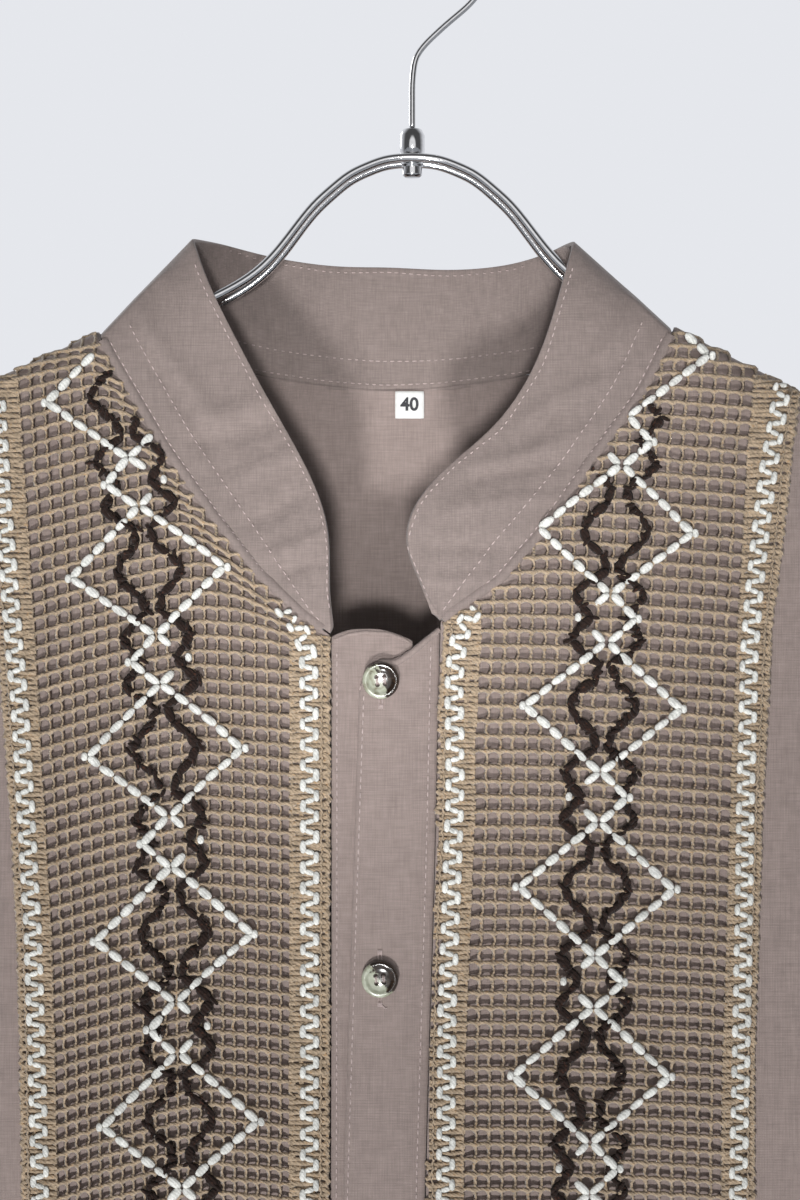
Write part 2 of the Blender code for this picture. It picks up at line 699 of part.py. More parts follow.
def main():
    for old in list(bpy.data.objects):
        bpy.data.objects.remove(old)
    cloth = material("cloth", (0.30, 0.24, 0.22), 0.9)
    net = material("net", (0.33, 0.25, 0.18), 0.9)
    white = material("label", (0.8, 0.8, 0.78), 0.8)
    shell = material("button", (0.45, 0.46, 0.38), 0.25)
    chrome = material("chrome", (0.75, 0.75, 0.75), 0.12, 1.0)

    left = sheet("front_left", front_grid(-1), CLOTH, cloth)
    right = sheet("front_right", front_grid(1), CLOTH, cloth, mirrored=True)
    back_points, back_first = back_grid()
    back = sheet("back", back_points, CLOTH, cloth)

    net_columns = slice(0, NECK_STATIONS + NET_OUTER_COLUMNS)
    laid_on("net_left", left, net_columns, net, False)
    laid_on("net_right", right, net_columns, net, True)
    make_plackets(cloth)
    make_collar(left, right, back, back_first, cloth)
    stops = len(ARMHOLE_STOPS)
    make_sleeve("sleeve_left", -1, left, back, slice(stops - 1, None, -1), cloth)
    make_sleeve("sleeve_right", 1, right, back, slice(len(back_points) - stops, None), cloth)
    make_label(white)
    make_buttons(shell)
    make_hanger(chrome)


main()
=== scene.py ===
"""Mandarin collar shirt on a chrome wire hanger: its cloth, crochet net, embroidery, sewing and buttons.

Sizes are in millimetres and become metres when a mesh is made. "drop" is the depth below the inner crown of
the hanger's hook. The shirt faces -Y, and left and right are the viewer's.
"""

import json
import math

import bmesh
import bpy
import numpy as np
from mathutils import Matrix, Vector
from mathutils.bvhtree import BVHTree

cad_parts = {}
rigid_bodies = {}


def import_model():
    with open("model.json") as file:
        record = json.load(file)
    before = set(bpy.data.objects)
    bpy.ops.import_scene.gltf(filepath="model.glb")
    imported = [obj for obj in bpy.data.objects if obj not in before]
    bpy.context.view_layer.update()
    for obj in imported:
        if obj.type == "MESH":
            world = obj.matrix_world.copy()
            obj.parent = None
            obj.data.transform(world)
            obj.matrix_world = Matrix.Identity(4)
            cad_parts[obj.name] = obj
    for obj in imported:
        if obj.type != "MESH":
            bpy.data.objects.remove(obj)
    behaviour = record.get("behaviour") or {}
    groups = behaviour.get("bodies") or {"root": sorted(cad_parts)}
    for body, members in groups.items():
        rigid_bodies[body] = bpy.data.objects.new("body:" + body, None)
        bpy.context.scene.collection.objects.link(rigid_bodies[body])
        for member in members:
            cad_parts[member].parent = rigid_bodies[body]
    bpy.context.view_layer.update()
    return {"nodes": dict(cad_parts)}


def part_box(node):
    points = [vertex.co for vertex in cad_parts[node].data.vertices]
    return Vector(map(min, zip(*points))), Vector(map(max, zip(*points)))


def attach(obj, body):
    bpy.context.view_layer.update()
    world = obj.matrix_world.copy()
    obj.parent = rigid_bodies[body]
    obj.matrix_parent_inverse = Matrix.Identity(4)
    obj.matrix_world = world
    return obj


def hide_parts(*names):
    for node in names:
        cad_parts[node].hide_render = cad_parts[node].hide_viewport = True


MM = 0.001
SHIRT_X = -9.0
HEM_DROP = 865.0
# The half width at the side seams, how far the hem rises to them, and the upper and lower end of an armhole
# and of a cuff, as the distance from the middle and the drop
HALF_WIDTH, HEM_RISE = 284, 12
ARMHOLE, CUFF = [(229, 212), (268, 424)], [(364, 381), (296, 518)]
# Edges of a solid that turn more than this, in degrees, stay crisp when it is made finer
SHARP_ANGLE = 50.0
# Where the rays along Y that find the cloth start: in front of the shirt, between its layers and behind it
IN_FRONT, BETWEEN, BEHIND = -150.0, 0.0, 150.0

# Camera: 789 mm in front of the hook's plane, level, at the height of the collar's seam
CAMERA_PLACE = (-4.3, -789.0, -236.6)
CAMERA_LENS, SENSOR_HEIGHT = 68.2, 36.0

# Soft creases of the cloth: x and drop where each starts, x and drop where it ends, half width, height (a
# trough is below nought) and how far its middle bows aside
FRONT_CREASES = [
    (-128, 185, -205, 330, 10, 2.25, 9),
    (-160, 205, -238, 372, 8, -1.95, 6),
    (-166, 330, -252, 428, 7, 2.85, -7),
    (-158, 392, -248, 452, 6, -2.1, 5),
    (-200, 250, -226, 420, 6, 1.65, 4),
    (-172, 470, -262, 540, 9, 2.4, 8),
    (-205, 510, -222, 850, 12, 3.6, -7),
    (-244, 560, -262, 858, 9, -2.7, 5),
    (-158, 610, -150, 862, 10, 2.25, 4),
    (-184, 690, -192, 863, 7, -1.8, 3),
    (-138, 300, -60, 420, 16, 0.7, 10),
    (-120, 520, -50, 700, 20, 0.9, -12),
    (112, 170, 182, 320, 10, 2.1, -8),
    (142, 196, 214, 355, 8, -1.8, -5),
    (146, 318, 232, 424, 7, 2.7, 8),
    (140, 400, 226, 446, 6, -1.95, -4),
    (178, 236, 208, 410, 6, 1.5, -5),
    (150, 480, 240, 528, 8, 2.25, -6),
    (182, 520, 205, 846, 12, 3.45, 8),
    (224, 575, 244, 855, 9, -2.55, -4),
    (136, 640, 130, 862, 10, 2.1, -5),
    (168, 705, 172, 862, 7, -1.65, 3),
    (120, 290, 48, 402, 16, 0.7, -9),
    (104, 560, 40, 720, 20, 0.8, 10),
]
BACK_CREASES = [
    (-70, 178, -190, 300, 12, 3.42, 10),
    (-40, 190, -150, 390, 15, -2.66, 14),
    (54, 176, 172, 292, 12, 3.23, -11),
    (30, 188, 138, 372, 14, -2.85, -12),
    (-235, 400, -120, 470, 8, 3.61, 7),
    (-246, 440, -150, 560, 7, -2.85, 6),
    (214, 396, 104, 462, 8, 3.42, -6),
    (226, 436, 128, 548, 7, -2.66, -7),
    (-60, 430, -84, 850, 18, 4.94, 9),
    (-130, 520, -150, 855, 14, -3.8, -7),
    (-196, 560, -214, 858, 11, 3.8, 5),
    (10, 470, 22, 856, 16, -4.18, -8),
    (78, 500, 92, 852, 15, 4.56, 7),
    (150, 560, 160, 858, 11, -3.23, 5),
    (198, 600, 212, 856, 10, 3.42, -4),
]
# The sleeves' creases, drawn on the viewer's left sleeve and mirrored on the shirt's middle for the other
SLEEVE_CREASES = [
    (-244, 236, -268, 418, 6, 2.55, 6),
    (-268, 250, -284, 452, 6, -2.21, -5),
    (-300, 280, -286, 470, 7, 2.38, 7),
    (-276, 425, -340, 392, 7, 2.72, -6),
    (-290, 466, -366, 452, 6, -2.04, 5),
    (-330, 320, -352, 430, 8, 1.87, -6),
    (-312, 480, -376, 486, 8, 1.7, 4),
]
# The collar's faint slanting wrinkles, on its front parts and on its back
COLLAR_CREASES = [
    (-98, 128, -62, 180, 4.0, 1.4, 3),
    (-94, 150, -58, 206, 3.2, -1.1, -3),
    (-78, 176, -38, 164, 2.6, 1.4, 2),
    (-74, 184, -36, 172, 2.2, -1.3, 2),
    (-62, 198, -30, 186, 2.2, 1.3, -2),
    (-60, 212, -34, 200, 2.4, -1.1, 1),
    (-50, 222, -30, 214, 2.0, 1.3, 1),
    (-46, 230, -30, 224, 1.8, -1.1, -1),
    (80, 128, 46, 178, 4.2, 1.8, -3),
    (76, 150, 34, 190, 3.6, -1.4, 3),
    (70, 160, 30, 182, 2.2, 1.3, 2),
    (62, 178, 18, 192, 2.4, 1.4, -2),
    (58, 190, 12, 200, 2.0, -1.3, 2),
    (50, 202, 8, 208, 2.2, 1.3, 1),
    (36, 220, 4, 220, 2.4, -1.1, 1),
    (28, 228, 6, 230, 1.8, 1.1, -1),
]
COLLAR_BACK_CREASES = [
    (-70, 128, -52, 156, 4.0, 1.4, 3),
    (-50, 130, -26, 160, 3.6, -1.3, -2),
    (-22, 131, -6, 161, 4.5, 1.3, 2),
    (8, 133, 22, 161, 4.0, -1.1, 3),
    (34, 131, 46, 160, 4.2, 1.4, -2),
    (60, 128, 68, 152, 3.4, -1.1, 2),
]
# Slight crumples of the plackets, most of them beside the first button
PLACKET_CREASES = [
    (-2, 262, 8, 250, 2.2, 0.7, 1),
    (-4, 268, 9, 262, 1.8, -0.55, 1),
    (-3, 276, 8, 276, 1.6, 0.45, -1),
    (-17, 276, -4, 284, 2.0, 0.35, 1),
    (-20, 300, 4, 306, 3.0, 0.4, 2),
    (-22, 322, 2, 316, 2.6, -0.35, 1),
    (-21, 345, 3, 352, 3.0, 0.4, -2),
    (-24, 400, 0, 392, 3.4, 0.4, 2),
    (-24, 450, 0, 458, 4.0, -0.4, 2),
    (-25, 520, -1, 512, 4.0, 0.45, -2),
    (-26, 600, -2, 610, 4.4, 0.4, 2),
    (-27, 700, -3, 692, 4.2, -0.45, 2),
    (-28, 790, -4, 800, 4.4, 0.4, -2),
    (-26, 254, -20, 262, 1.8, 0.6, 1),
    (-27, 268, -21, 270, 1.6, -0.5, 1),
]
# A collar crease fades out this near the shoulder folds, so the band turns there undisturbed
COLLAR_LEFT_END, COLLAR_RIGHT_END, COLLAR_FADE = -104.0, 86.0, 16.0

# Crochet net. Each panel by drop: x of its inner edge, of the net's inner and outer end, and of its outer
# edge; then the net's columns, the pitch of its rows, where they begin and how far they run
NET_LEFT = [
    (150, -27.6, -40.5, -135.5, -150.0),
    (205, -27.6, -40.2, -131.0, -143.6),
    (245, -27.6, -40.1, -127.6, -139.6),
    (308, -27.6, -40.0, -123.4, -134.2),
    (346, -27.8, -40.0, -121.0, -132.0),
    (389, -27.9, -40.1, -119.8, -130.9),
    (433, -28.0, -40.2, -119.0, -130.3),
    (600, -29.2, -41.4, -116.8, -128.0),
    (865, -31.2, -43.4, -114.8, -126.0),
]
NET_RIGHT = [
    (150, 10.8, 23.0, 118.0, 134.5),
    (186, 10.8, 22.5, 113.8, 128.0),
    (212, 10.8, 22.2, 112.3, 125.3),
    (247, 10.4, 21.8, 109.5, 120.3),
    (281, 7.9, 19.9, 107.6, 118.2),
    (304, 7.6, 19.8, 106.4, 116.6),
    (346, 5.4, 18.0, 105.2, 115.2),
    (389, 4.3, 16.4, 103.9, 113.8),
    (432, 3.9, 16.0, 103.4, 113.8),
    (600, 2.2, 14.4, 101.6, 112.0),
    (865, 0.2, 12.4, 100.4, 110.8),
]
LEFT_COLUMNS, RIGHT_COLUMNS = 21, 20
LEFT_PITCH, RIGHT_PITCH = 4.83, 4.98
NET_TOP = 152.0
NET_LENGTH = HEM_DROP - 4 - NET_TOP
# Collar seam on each front, as x and drop; the net ends by the margin from it, and beside it the yarn sinks
# into the cloth, over the tuck
LEFT_SEAM = [
    (-108, 145), (-98, 162), (-83.5, 186), (-66, 210), (-51, 228.5), (-37, 241.5), (-27.4, 248.2),
]
RIGHT_SEAM = [(7.3, 245), (14, 240), (29, 230), (44, 213), (63, 186), (77.5, 167), (90, 143.2)]
SEAM_MARGIN, SEAM_TUCK = 0.3, 4.5
# Beside the collar the rows are drawn down by this much, fading out over this distance
LEFT_LEAN, RIGHT_LEAN, LEAN_REACH = 6.0, 1.0, 17.0 / 0.75
# Radius of the yarn in the rows and in the bars between them, how far a bar bows aside, and a bar's points as
# the share of its way down, the share of its bow and the thickness
ROW_RADIUS, BAR_RADIUS, BAR_BOW = 0.7, 0.64, 0.35
BAR = [(0, -0.5, 1.35), (0.35, 0.8, 0.95), (0.68, 0.8, 0.95), (1, -0.5, 1.35)]
# How far the cloth hangs back behind the net, and how far the yarn stands proud of the cloth round it
NET_GAP, NET_PROUD = 1.5, 1.2
# How far a white stitch may reach over the collar's seam, and the lowest drop of the shoulders by the panels
STITCH_REACH, SHOULDER_DROP = 4.6, 172.0
# Dense border ribs: their pitch, how far each stands proud, their radius, and a rib's points as the share
# from the net to the panel's edge and the depth below the rib's start
RIB_PITCH, RIB_PROUD, RIB_RADIUS = 3.4, 1.0, 0.95
RIB = [
    (-0.06, 0.0), (0.3, 0.15), (0.62, -0.1), (0.9, -0.2), (0.97, 0.3), (1.0, 0.85),
    (0.97, 1.4), (0.9, 1.9), (0.62, 1.8), (0.3, 1.55), (-0.06, 1.7),
]
# Chains down a border: their radius, and each one's share from the net to the edge, how far proud, thickness
# and spacing of points
CORD_RADIUS = 0.42
CORDS = [(0.8, 2.0, 1.0, 1.3), (0.97, 0.9, 1.7, 1.9), (0.25, 0.3, 2.6, 4.0), (0.6, 0.3, 2.6, 4.0)]

# The collar's upper edge over each seam, from the placket round to the shoulder, its seam and edge at the
# back, and the plackets' top edges, all as x and drop; and the plackets' sides as drop and x
LEFT_TOP = [
    (-26.6, 245.2), (-28, 233), (-27.3, 217), (-30, 204), (-38, 187), (-50, 167), (-62.5, 143), (-70, 128),
    (-75, 114),
]
RIGHT_TOP = [
    (7, 241), (3, 232), (-3.8, 217.5), (0.5, 203.5), (12.5, 191), (29.2, 177.9), (43, 156), (50.5, 130),
    (55, 115),
]
BACK_SEAM = [
    (-98, 147), (-80, 150.5), (-57, 156), (-30, 159.5), (-9, 160.5), (14, 159.5), (44, 156), (68, 150),
]
BACK_TOP = [(-64, 110.8), (-52, 113), (-28, 115), (-8, 114), (13, 116), (36, 115.5), (49, 112.8)]
OVER_TOP = [(-18.2, 264.6), (-16.5, 259), (-11.5, 256.4), (-6, 256.4), (-1, 253), (8, 245.5)]
UNDER_TOP = [(-26.4, 248.9), (-22, 247.2), (-16.7, 246.4), (-8.3, 246.9), (-3, 248.9), (-0.6, 251)]
OVER_LEFT = [(308, -19), (347, -20.3), (433, -23), (600, -25), (865, -27)]
OVER_RIGHT = [(245, 9), (308, 7.7), (347, 6.6), (433, 4), (600, 2.2), (865, 0.2)]
UNDER_LEFT = [(249, -27.4), (347, -27.4), (433, -27.6), (600, -29), (865, -31)]
# The neck seam's roll, in front and behind: how far inside, how far up and how thick it is
FRONT_ROLL, BACK_ROLL = (1.6, 0.7, 2.5), (0.85, 0.1, 1.0)
# Running stitches: length, gap, width and height of each
STITCH, STITCH_GAP, STITCH_WIDTH, STITCH_HEIGHT = 1.9, 0.75, 0.5, 0.3

# White braid lines, as x and drop
BRAIDS = [
    ("left", [
        (-43.7, 237.9), (-37.6, 245.6), (-34.4, 254.0), (-34.0, 300), (-34.1, 433), (-35.3, 600),
        (-37.3, 860),
    ]),
    ("left", [
        (-141.0, 166), (-138.2, 205), (-136.2, 225), (-134.1, 247), (-131.4, 272), (-129.6, 298),
        (-126.6, 346), (-125.3, 389), (-124.3, 427), (-122.4, 600), (-120.4, 860),
    ]),
    ("right", [
        (21.8, 236.9), (15.8, 246.5), (14.2, 254.8), (13.5, 263.3), (13.9, 297), (12.5, 336), (11.2, 370),
        (10.6, 434), (8.4, 600), (6.4, 860),
    ]),
    ("right", [
        (127.0, 157), (124.1, 170.4), (120.1, 192), (117.4, 212), (114.6, 234), (112.6, 255), (110.8, 306),
        (109.7, 372), (108.4, 431), (106.6, 600), (105.4, 860),
    ]),
]
# A braid's period and the distance of its upright ovals from its middle; then length, width, height and how
# far proud of its upright ovals and of its links
BRAID_PERIOD, BRAID_HALF = 6.75, 2.2
BRAID_UPRIGHT, BRAID_LINK = (4.3, 2.15, 1.5, 2.3), (3.2, 1.95, 1.4, 2.0)

# Embroidered diamonds: the panel's middle line as drop and x, and the drops of the big diamonds' middles
LEFT_MIDDLE = [
    (150, -99), (188, -95.9), (205, -91.8), (248, -85.3), (264, -83.8), (309, -80.6), (371, -78.3),
    (431, -76.2), (600, -77.5), (865, -79),
]
RIGHT_MIDDLE = [
    (150, 75), (191, 70.2), (233, 65.8), (250, 64.3), (294, 61.9), (354, 60.1), (418, 58.4), (600, 57.2),
    (865, 55.8),
]
LEFT_BIG = [105.5, 167.2, 226.7, 285.9, 347, 408.5, 469.5, 531, 592, 653, 714, 775, 836, 897]
RIGHT_BIG = [91.5, 152.8, 213.2, 271.9, 331.6, 393.8, 455, 517, 578, 639, 700, 761, 822, 883]
# A strand's chart, charted over this repeat: its half width by the distance below a big diamond's middle,
# mirrored from the next one, and the number of stitches between two of its points
REPEAT = 61.0
WHITE_CHART = [(0.0, 26.0), (22.0, 0.5), (30.5, 9.2)]
WHITE_COUNTS = [6, 2]
DARK_CHART = [
    (0, 11.2), (4.4, 8.6), (8.6, 3.6), (14.4, 2.0), (18, 7.4), (22.4, 12.2), (26.4, 9.2), (30.5, 5.4),
]
DARK_COUNTS = [1] * 7
# Width, height, how far proud, gap at each end and unevenness of the stitches; the dark strands cross, so the
# one on the placket's side lies higher and the other one lower by the step
WHITE_STITCH = (2.8, 1.7, 2.6, 0.12, 1)
DARK_STITCH, DARK_STEP = (3.1, 2.0, 1.8, -0.2, 2), 0.4
# Width, height and how far proud of the loose stitches across the dark ones
LOOSE_STITCH = (1.4, 1.3, 2.6)
# How much of the rows' arch the diamonds follow
LEFT_FOLLOW, RIGHT_FOLLOW = 0.4, 0.5

# Buttons, as in the solids: how many, how they follow, where the first one's middle is, their radius, the y
# of their backs, and the turned profile as radius and height from the back
BUTTONS, BUTTON_PITCH, BUTTON_DRIFT = 6, 98.0, -0.003
BUTTON_X, FIRST_BUTTON_DROP, BUTTON_RADIUS = -10.6, 263.0, 6.1
BUTTON_BACK_Y = -41.5
BUTTON_PROFILE = [
    (0, 0), (4.9, 0), (5.7, 0.35), (6.05, 1.0), (6.1, 1.8), (5.95, 2.45), (5.5, 2.9), (5.0, 3.0),
    (4.5, 2.85), (4.1, 2.45), (3.5, 2.2), (2.0, 2.1), (0, 2.08),
]
# Which way each button's brown side faces, in radians from the viewer's right, turning upwards
DARK_SIDES = (0.45, 0.7, 2.2, -0.6, 1.4, 3.4)
BUTTON_HOLE_RADIUS, BUTTON_HOLE_FROM_MIDDLE, BUTTON_TURN = 0.78, 1.75, 0.12
# Buttonhole: half length, how far up the first one reaches, half width of the slit's edging, and the spacing
# of its stitches; then the turned profile of the hanger's boss, as radius and z
HOLE_HALF, FIRST_HOLE_TOP, HOLE_SIDE, HOLE_STITCH = 8.6, 5.4, 0.85, 0.42
BOSS_PROFILE = [
    (0, -90.0), (2.6, -90.0), (3.4, -89.2), (3.4, -86.4), (3.9, -85.8),
    (3.9, -81.9), (4.3, -81.2), (4.3, -75.5), (3.2, -73.3), (0, -73.3),
]
LABEL_NUMBER, LABEL_NUMBER_SIZE = "40", 6.6

# Colours of the cloth, the collar's cloth (the same taupe, painted darker as shade against the neck spot's
# light), the yarns with their flecks, the sewing thread and the number
TAUPE, COLLAR_SHADED_TAUPE = (0.30, 0.24, 0.22), (0.265, 0.215, 0.198)
TAN, WHITE, DARK = (0.43, 0.33, 0.23), (0.74, 0.74, 0.7), (0.024, 0.0135, 0.0105)
TAN_FLECK, WHITE_FLECK, DARK_FLECK = (0.42, 0.24, 0.1), (0.7, 0.68, 0.62), (0.09, 0.035, 0.02)
THREAD_COLOUR, INK = (0.5, 0.4, 0.38), (0.03, 0.03, 0.035)
BUTTON_PALE = [(0.2, 0.18, 0.12), (0.4, 0.42, 0.32), (0.56, 0.58, 0.48)]
BUTTON_BROWN = [(0.012, 0.008, 0.006), (0.035, 0.02, 0.012), (0.13, 0.075, 0.04)]
# Spacing of the weave's threads, and how much a stitch is filled out towards its ends
THREAD_PITCH, PLUMPNESS = 0.55, 0.9

# The floor: how far below the hook it lies, as under a clothes rail, and how far it reaches each way
FLOOR_DROP, FLOOR_HALF = 1950.0, 9000
# Round lamps: place, the point that each is turned to, width and watts; the neck's spot has its cone in
# degrees after the two places
LAMPS = {
    "key": ((-250, -1650, -1290), (0, 0, -300), 200, 25.5),
    "back": ((-1300, 1500, 500), (0, 0, -450), 900, 12),
}
NECK_SPOT = ((-40, -1950, -440), (-10, 0, -190), 7.5, 120, 180)
# The room's light from straight in front of the shirt (0) to straight behind it (1): a window, dim, pale
DIM = (0.08, 0.08, 0.082)
ROOM = [(0.04, (0.9, 0.9, 0.91)), (0.08, DIM), (0.36, DIM), (0.75, (0.785, 0.8, 0.84))]


def smooth(t):
    """Soft step from 0 to 1."""
    t = np.clip(t, 0.0, 1.0)
    return t * t * (3 - 2 * t)


def mix(a, b, t):
    return a + (b - a) * t


def look_up(table, drop, column):
    """Value in a table's column at a drop, straight between its rows."""
    return float(np.interp(drop, [row[0] for row in table], [row[column] for row in table]))


def uneven(number, seed=0):
    """A steady pseudo-random value from -1 to 1 for a counted thing."""
    return 2 * math.modf(abs(math.sin(number * 12.9898 + seed * 78.233) * 43758.5453))[0] - 1


def linked(name, data):
    """A new object of the data, linked to the scene."""
    piece = bpy.data.objects.new(name, data)
    bpy.context.scene.collection.objects.link(piece)
    return piece


def new_piece(name, points, faces=(), edges=()):
    """An object from points in millimetres; its faces are shaded smooth."""
    mesh = bpy.data.meshes.new(name)
    mesh.from_pydata([tuple(MM * value for value in point) for point in points], edges, faces)
    mesh.shade_smooth()
    return linked(name, mesh)


def apply_modifiers(piece):
    """Turns what the modifiers make into the piece's own plain mesh."""
    graph = bpy.context.evaluated_depsgraph_get()
    mesh = bpy.data.meshes.new_from_object(piece.evaluated_get(graph))
    piece.modifiers.clear()
    piece.data = mesh


def show(piece, slot, *nodes):
    """Rides the piece on the shirt's one body, in place of the solids it stands for."""
    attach(piece, "root")
    if nodes:
        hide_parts(*nodes)


def node_copy(node, name, sharp_angle):
    """A copy of a solid: doubles merged, triangles joined to quads, sharp rims creased."""
    mesh = frame["nodes"][node].data.copy()
    mesh.name = name
    shape = bmesh.new()
    shape.from_mesh(mesh)
    bmesh.ops.remove_doubles(shape, verts=shape.verts, dist=1e-6)
    bmesh.ops.join_triangles(
        shape,
        faces=shape.faces,
        cmp_seam=False,
        cmp_sharp=False,
        cmp_uvs=False,
        cmp_vcols=False,
        cmp_materials=False,
        angle_face_threshold=math.radians(40),
        angle_shape_threshold=math.radians(60),
    )
    crease = shape.edges.layers.float.new("crease_edge")
    for edge in shape.edges:
        if len(edge.link_faces) == 2 and edge.calc_face_angle() > math.radians(sharp_angle):
            edge[crease] = 0.85
    shape.to_mesh(mesh)
    shape.free()
    mesh.materials.clear()
    mesh.shade_smooth()
    return linked(name, mesh)


def subdivided(piece, levels):
    finer = piece.modifiers.new("finer", "SUBSURF")
    finer.levels = levels
    finer.render_levels = levels
    apply_modifiers(piece)


def crease_height(table, x, drop):
    """Sum of the soft creases at each point, in millimetres."""
    total = np.zeros_like(x)
    for x_from, drop_from, x_to, drop_to, half, height, bow in table:
        along = np.array([x_to - x_from, drop_to - drop_from], float)
        length = math.hypot(*along)
        along /= length
        across = np.array([-along[1], along[0]])
        t = ((x - x_from) * along[0] + (drop - drop_from) * along[1]) / length
        inside = np.clip(t, 0, 1)
        aside = (x - x_from) * across[0] + (drop - drop_from) * across[1] - bow * 4 * inside * (1 - inside)
        past_end = np.maximum(np.abs(t - 0.5) - 0.5, 0) * length
        fade = smooth(inside / 0.3) * 0.6 + 0.4
        fade *= smooth((1 - inside) / 0.3) * 0.6 + 0.4
        total += height * fade * np.exp(-((aside / half) ** 2) - (past_end / half) ** 2)
    return total


def creased(piece, height_at, side):
    """Moves both layers of a cloth piece together along Y by its creases."""
    mesh = piece.data
    points = np.empty(len(mesh.vertices) * 3)
    mesh.vertices.foreach_get("co", points)
    points = points.reshape(-1, 3)
    x, y, drop = points[:, 0] / MM, points[:, 1] / MM, -points[:, 2] / MM
    points[:, 1] += side * MM * height_at(x, y, drop)
    mesh.vertices.foreach_set("co", points.ravel())
    mesh.update()


def side_fade(x):
    """Creases fade to nothing at the side seams, where front and back meet."""
    return smooth((HALF_WIDTH - np.abs(x - SHIRT_X)) / 26)


def front_creases(x, y, drop):
    return side_fade(x) * smooth((drop - 150) / 30) * crease_height(FRONT_CREASES, x, drop)


def front_height(x, y, drop):
    """The fronts hang a little behind the crochet net."""
    behind = np.zeros_like(x)
    for table in (NET_LEFT, NET_RIGHT):
        drops = [row[0] for row in table]
        inner, outer = (np.interp(drop, drops, [row[column] for row in table]) for column in (2, 3))
        middle, half = (inner + outer) / 2, np.abs(outer - inner) / 2
        behind += smooth((half + 1 - np.abs(x - middle)) / 5)
    seam_drop = np.where(
        x < SHIRT_X, np.interp(x, *zip(*LEFT_SEAM)), np.interp(x, *zip(*RIGHT_SEAM))
    )
    return front_creases(x, y, drop) - NET_GAP * behind * smooth((drop - seam_drop - 1) / 6)


def placket_height(x, y, drop):
    return crease_height(PLACKET_CREASES, x, drop)


def back_height(x, y, drop):
    return side_fade(x) * smooth((drop - 175) / 25) * crease_height(BACK_CREASES, x, drop)


def sleeve_height(x, y, drop):
    """Mirrored creases, outwards on the front and on the back of the sleeve."""
    mirrored = SHIRT_X - np.abs(x - SHIRT_X)
    height = crease_height(SLEEVE_CREASES, mirrored, drop)
    return np.where(y < 0, -1.0, 0.7) * smooth((np.abs(y) - 2) / 9) * height


def collar_height(x, y, drop):
    """Faint wrinkles, on the front parts towards -Y and on the back part towards +Y."""
    fade = smooth((x - COLLAR_LEFT_END) / COLLAR_FADE) * smooth((COLLAR_RIGHT_END - x) / COLLAR_FADE)
    front = crease_height(COLLAR_CREASES, x, drop)
    back = crease_height(COLLAR_BACK_CREASES, x, drop)
    return fade * np.where(y < 2, -front, back)


def make_from_solid(node, name, slot, material, sharp_angle=SHARP_ANGLE, levels=2, height_at=None, side=1):
    """A finer copy of a solid in its place, creased towards one side of Y where a height is given."""
    piece = node_copy(node, name, sharp_angle)
    subdivided(piece, levels)
    if height_at:
        creased(piece, height_at, side)
    piece.data.materials.append(material)
    show(piece, slot, node)
    return piece


def make_cloth_piece(node, material, height_at, side, levels=2):
    """A finer, creased shell in place of a cloth solid."""
    creases = {"height_at": height_at, "side": side}
    return make_from_solid(node, f"{node}_cloth", "cloth", material, levels=levels, **creases)


def level_front_tree(side):
    """The faces of a front without the hollow behind its net, which carry the crochet."""
    level = node_copy(f"front_{side}", "level_front", SHARP_ANGLE)
    subdivided(level, 2)
    creased(level, front_creases, -1)
    tree = ray_tree(level)
    bpy.data.objects.remove(level)
    return tree


def ray_tree(*pieces):
    """The pieces' faces, for the rays that lay yarn and thread on them."""
    points, faces = [], []
    for piece in pieces:
        first = len(points)
        points += [vertex.co[:] for vertex in piece.data.vertices]
        faces += [[first + corner for corner in face.vertices] for face in piece.data.polygons]
    return BVHTree.FromPolygons(points, faces)


def surface_y(tree, x, drop, start=IN_FRONT, way=1):
    """Where a line along Y first meets the cloth, in millimetres, or None."""
    place, _, _, _ = tree.ray_cast(Vector((x * MM, start * MM, -drop * MM)), Vector((0, way, 0)))
    return place.y / MM if place else None


def put(tree, value, socket):
    """Links another node's output to the socket, or sets the socket's own value."""
    if isinstance(value, bpy.types.NodeSocket):
        tree.links.new(value, socket)
    else:
        socket.default_value = value


def add_node(tree, kind, **inputs):
    """A node with its named inputs linked or set."""
    node = tree.nodes.new(kind)
    for name, value in inputs.items():
        put(tree, value, node.inputs[name.replace("_", " ")])
    return node


def calculate(tree, operation, *values):
    """The result of a math node on the values."""
    node = tree.nodes.new("ShaderNodeMath")
    node.operation = operation
    for value, socket in zip(values, node.inputs):
        put(tree, value, socket)
    return node.outputs[0]


def new_tree(name, *inputs):
    """An empty tree with a geometry in and out and named number inputs, and the sockets that give them."""
    tree = bpy.data.node_groups.new(name, "GeometryNodeTree")
    for label, kind in (("Geometry", "NodeSocketGeometry"), *inputs):
        tree.interface.new_socket(label, in_out="INPUT", socket_type=kind)
    tree.interface.new_socket("Geometry", in_out="OUTPUT", socket_type="NodeSocketGeometry")
    return tree, tree.nodes.new("NodeGroupInput").outputs


def end_tree(tree, geometry, material):
    """Realized instances, smooth shading, the material and the output."""
    for kind, inputs in (
        ("GeometryNodeRealizeInstances", {}),
        ("GeometryNodeSetShadeSmooth", {}),
        ("GeometryNodeSetMaterial", {"Material": material}),
    ):
        geometry = add_node(tree, kind, Geometry=geometry, **inputs).outputs["Geometry"]
    add_node(tree, "NodeGroupOutput", Geometry=geometry)


def read_attribute(tree, name, kind):
    reader = add_node(tree, "GeometryNodeInputNamedAttribute", Name=name)
    reader.data_type = kind
    return reader.outputs["Attribute"]


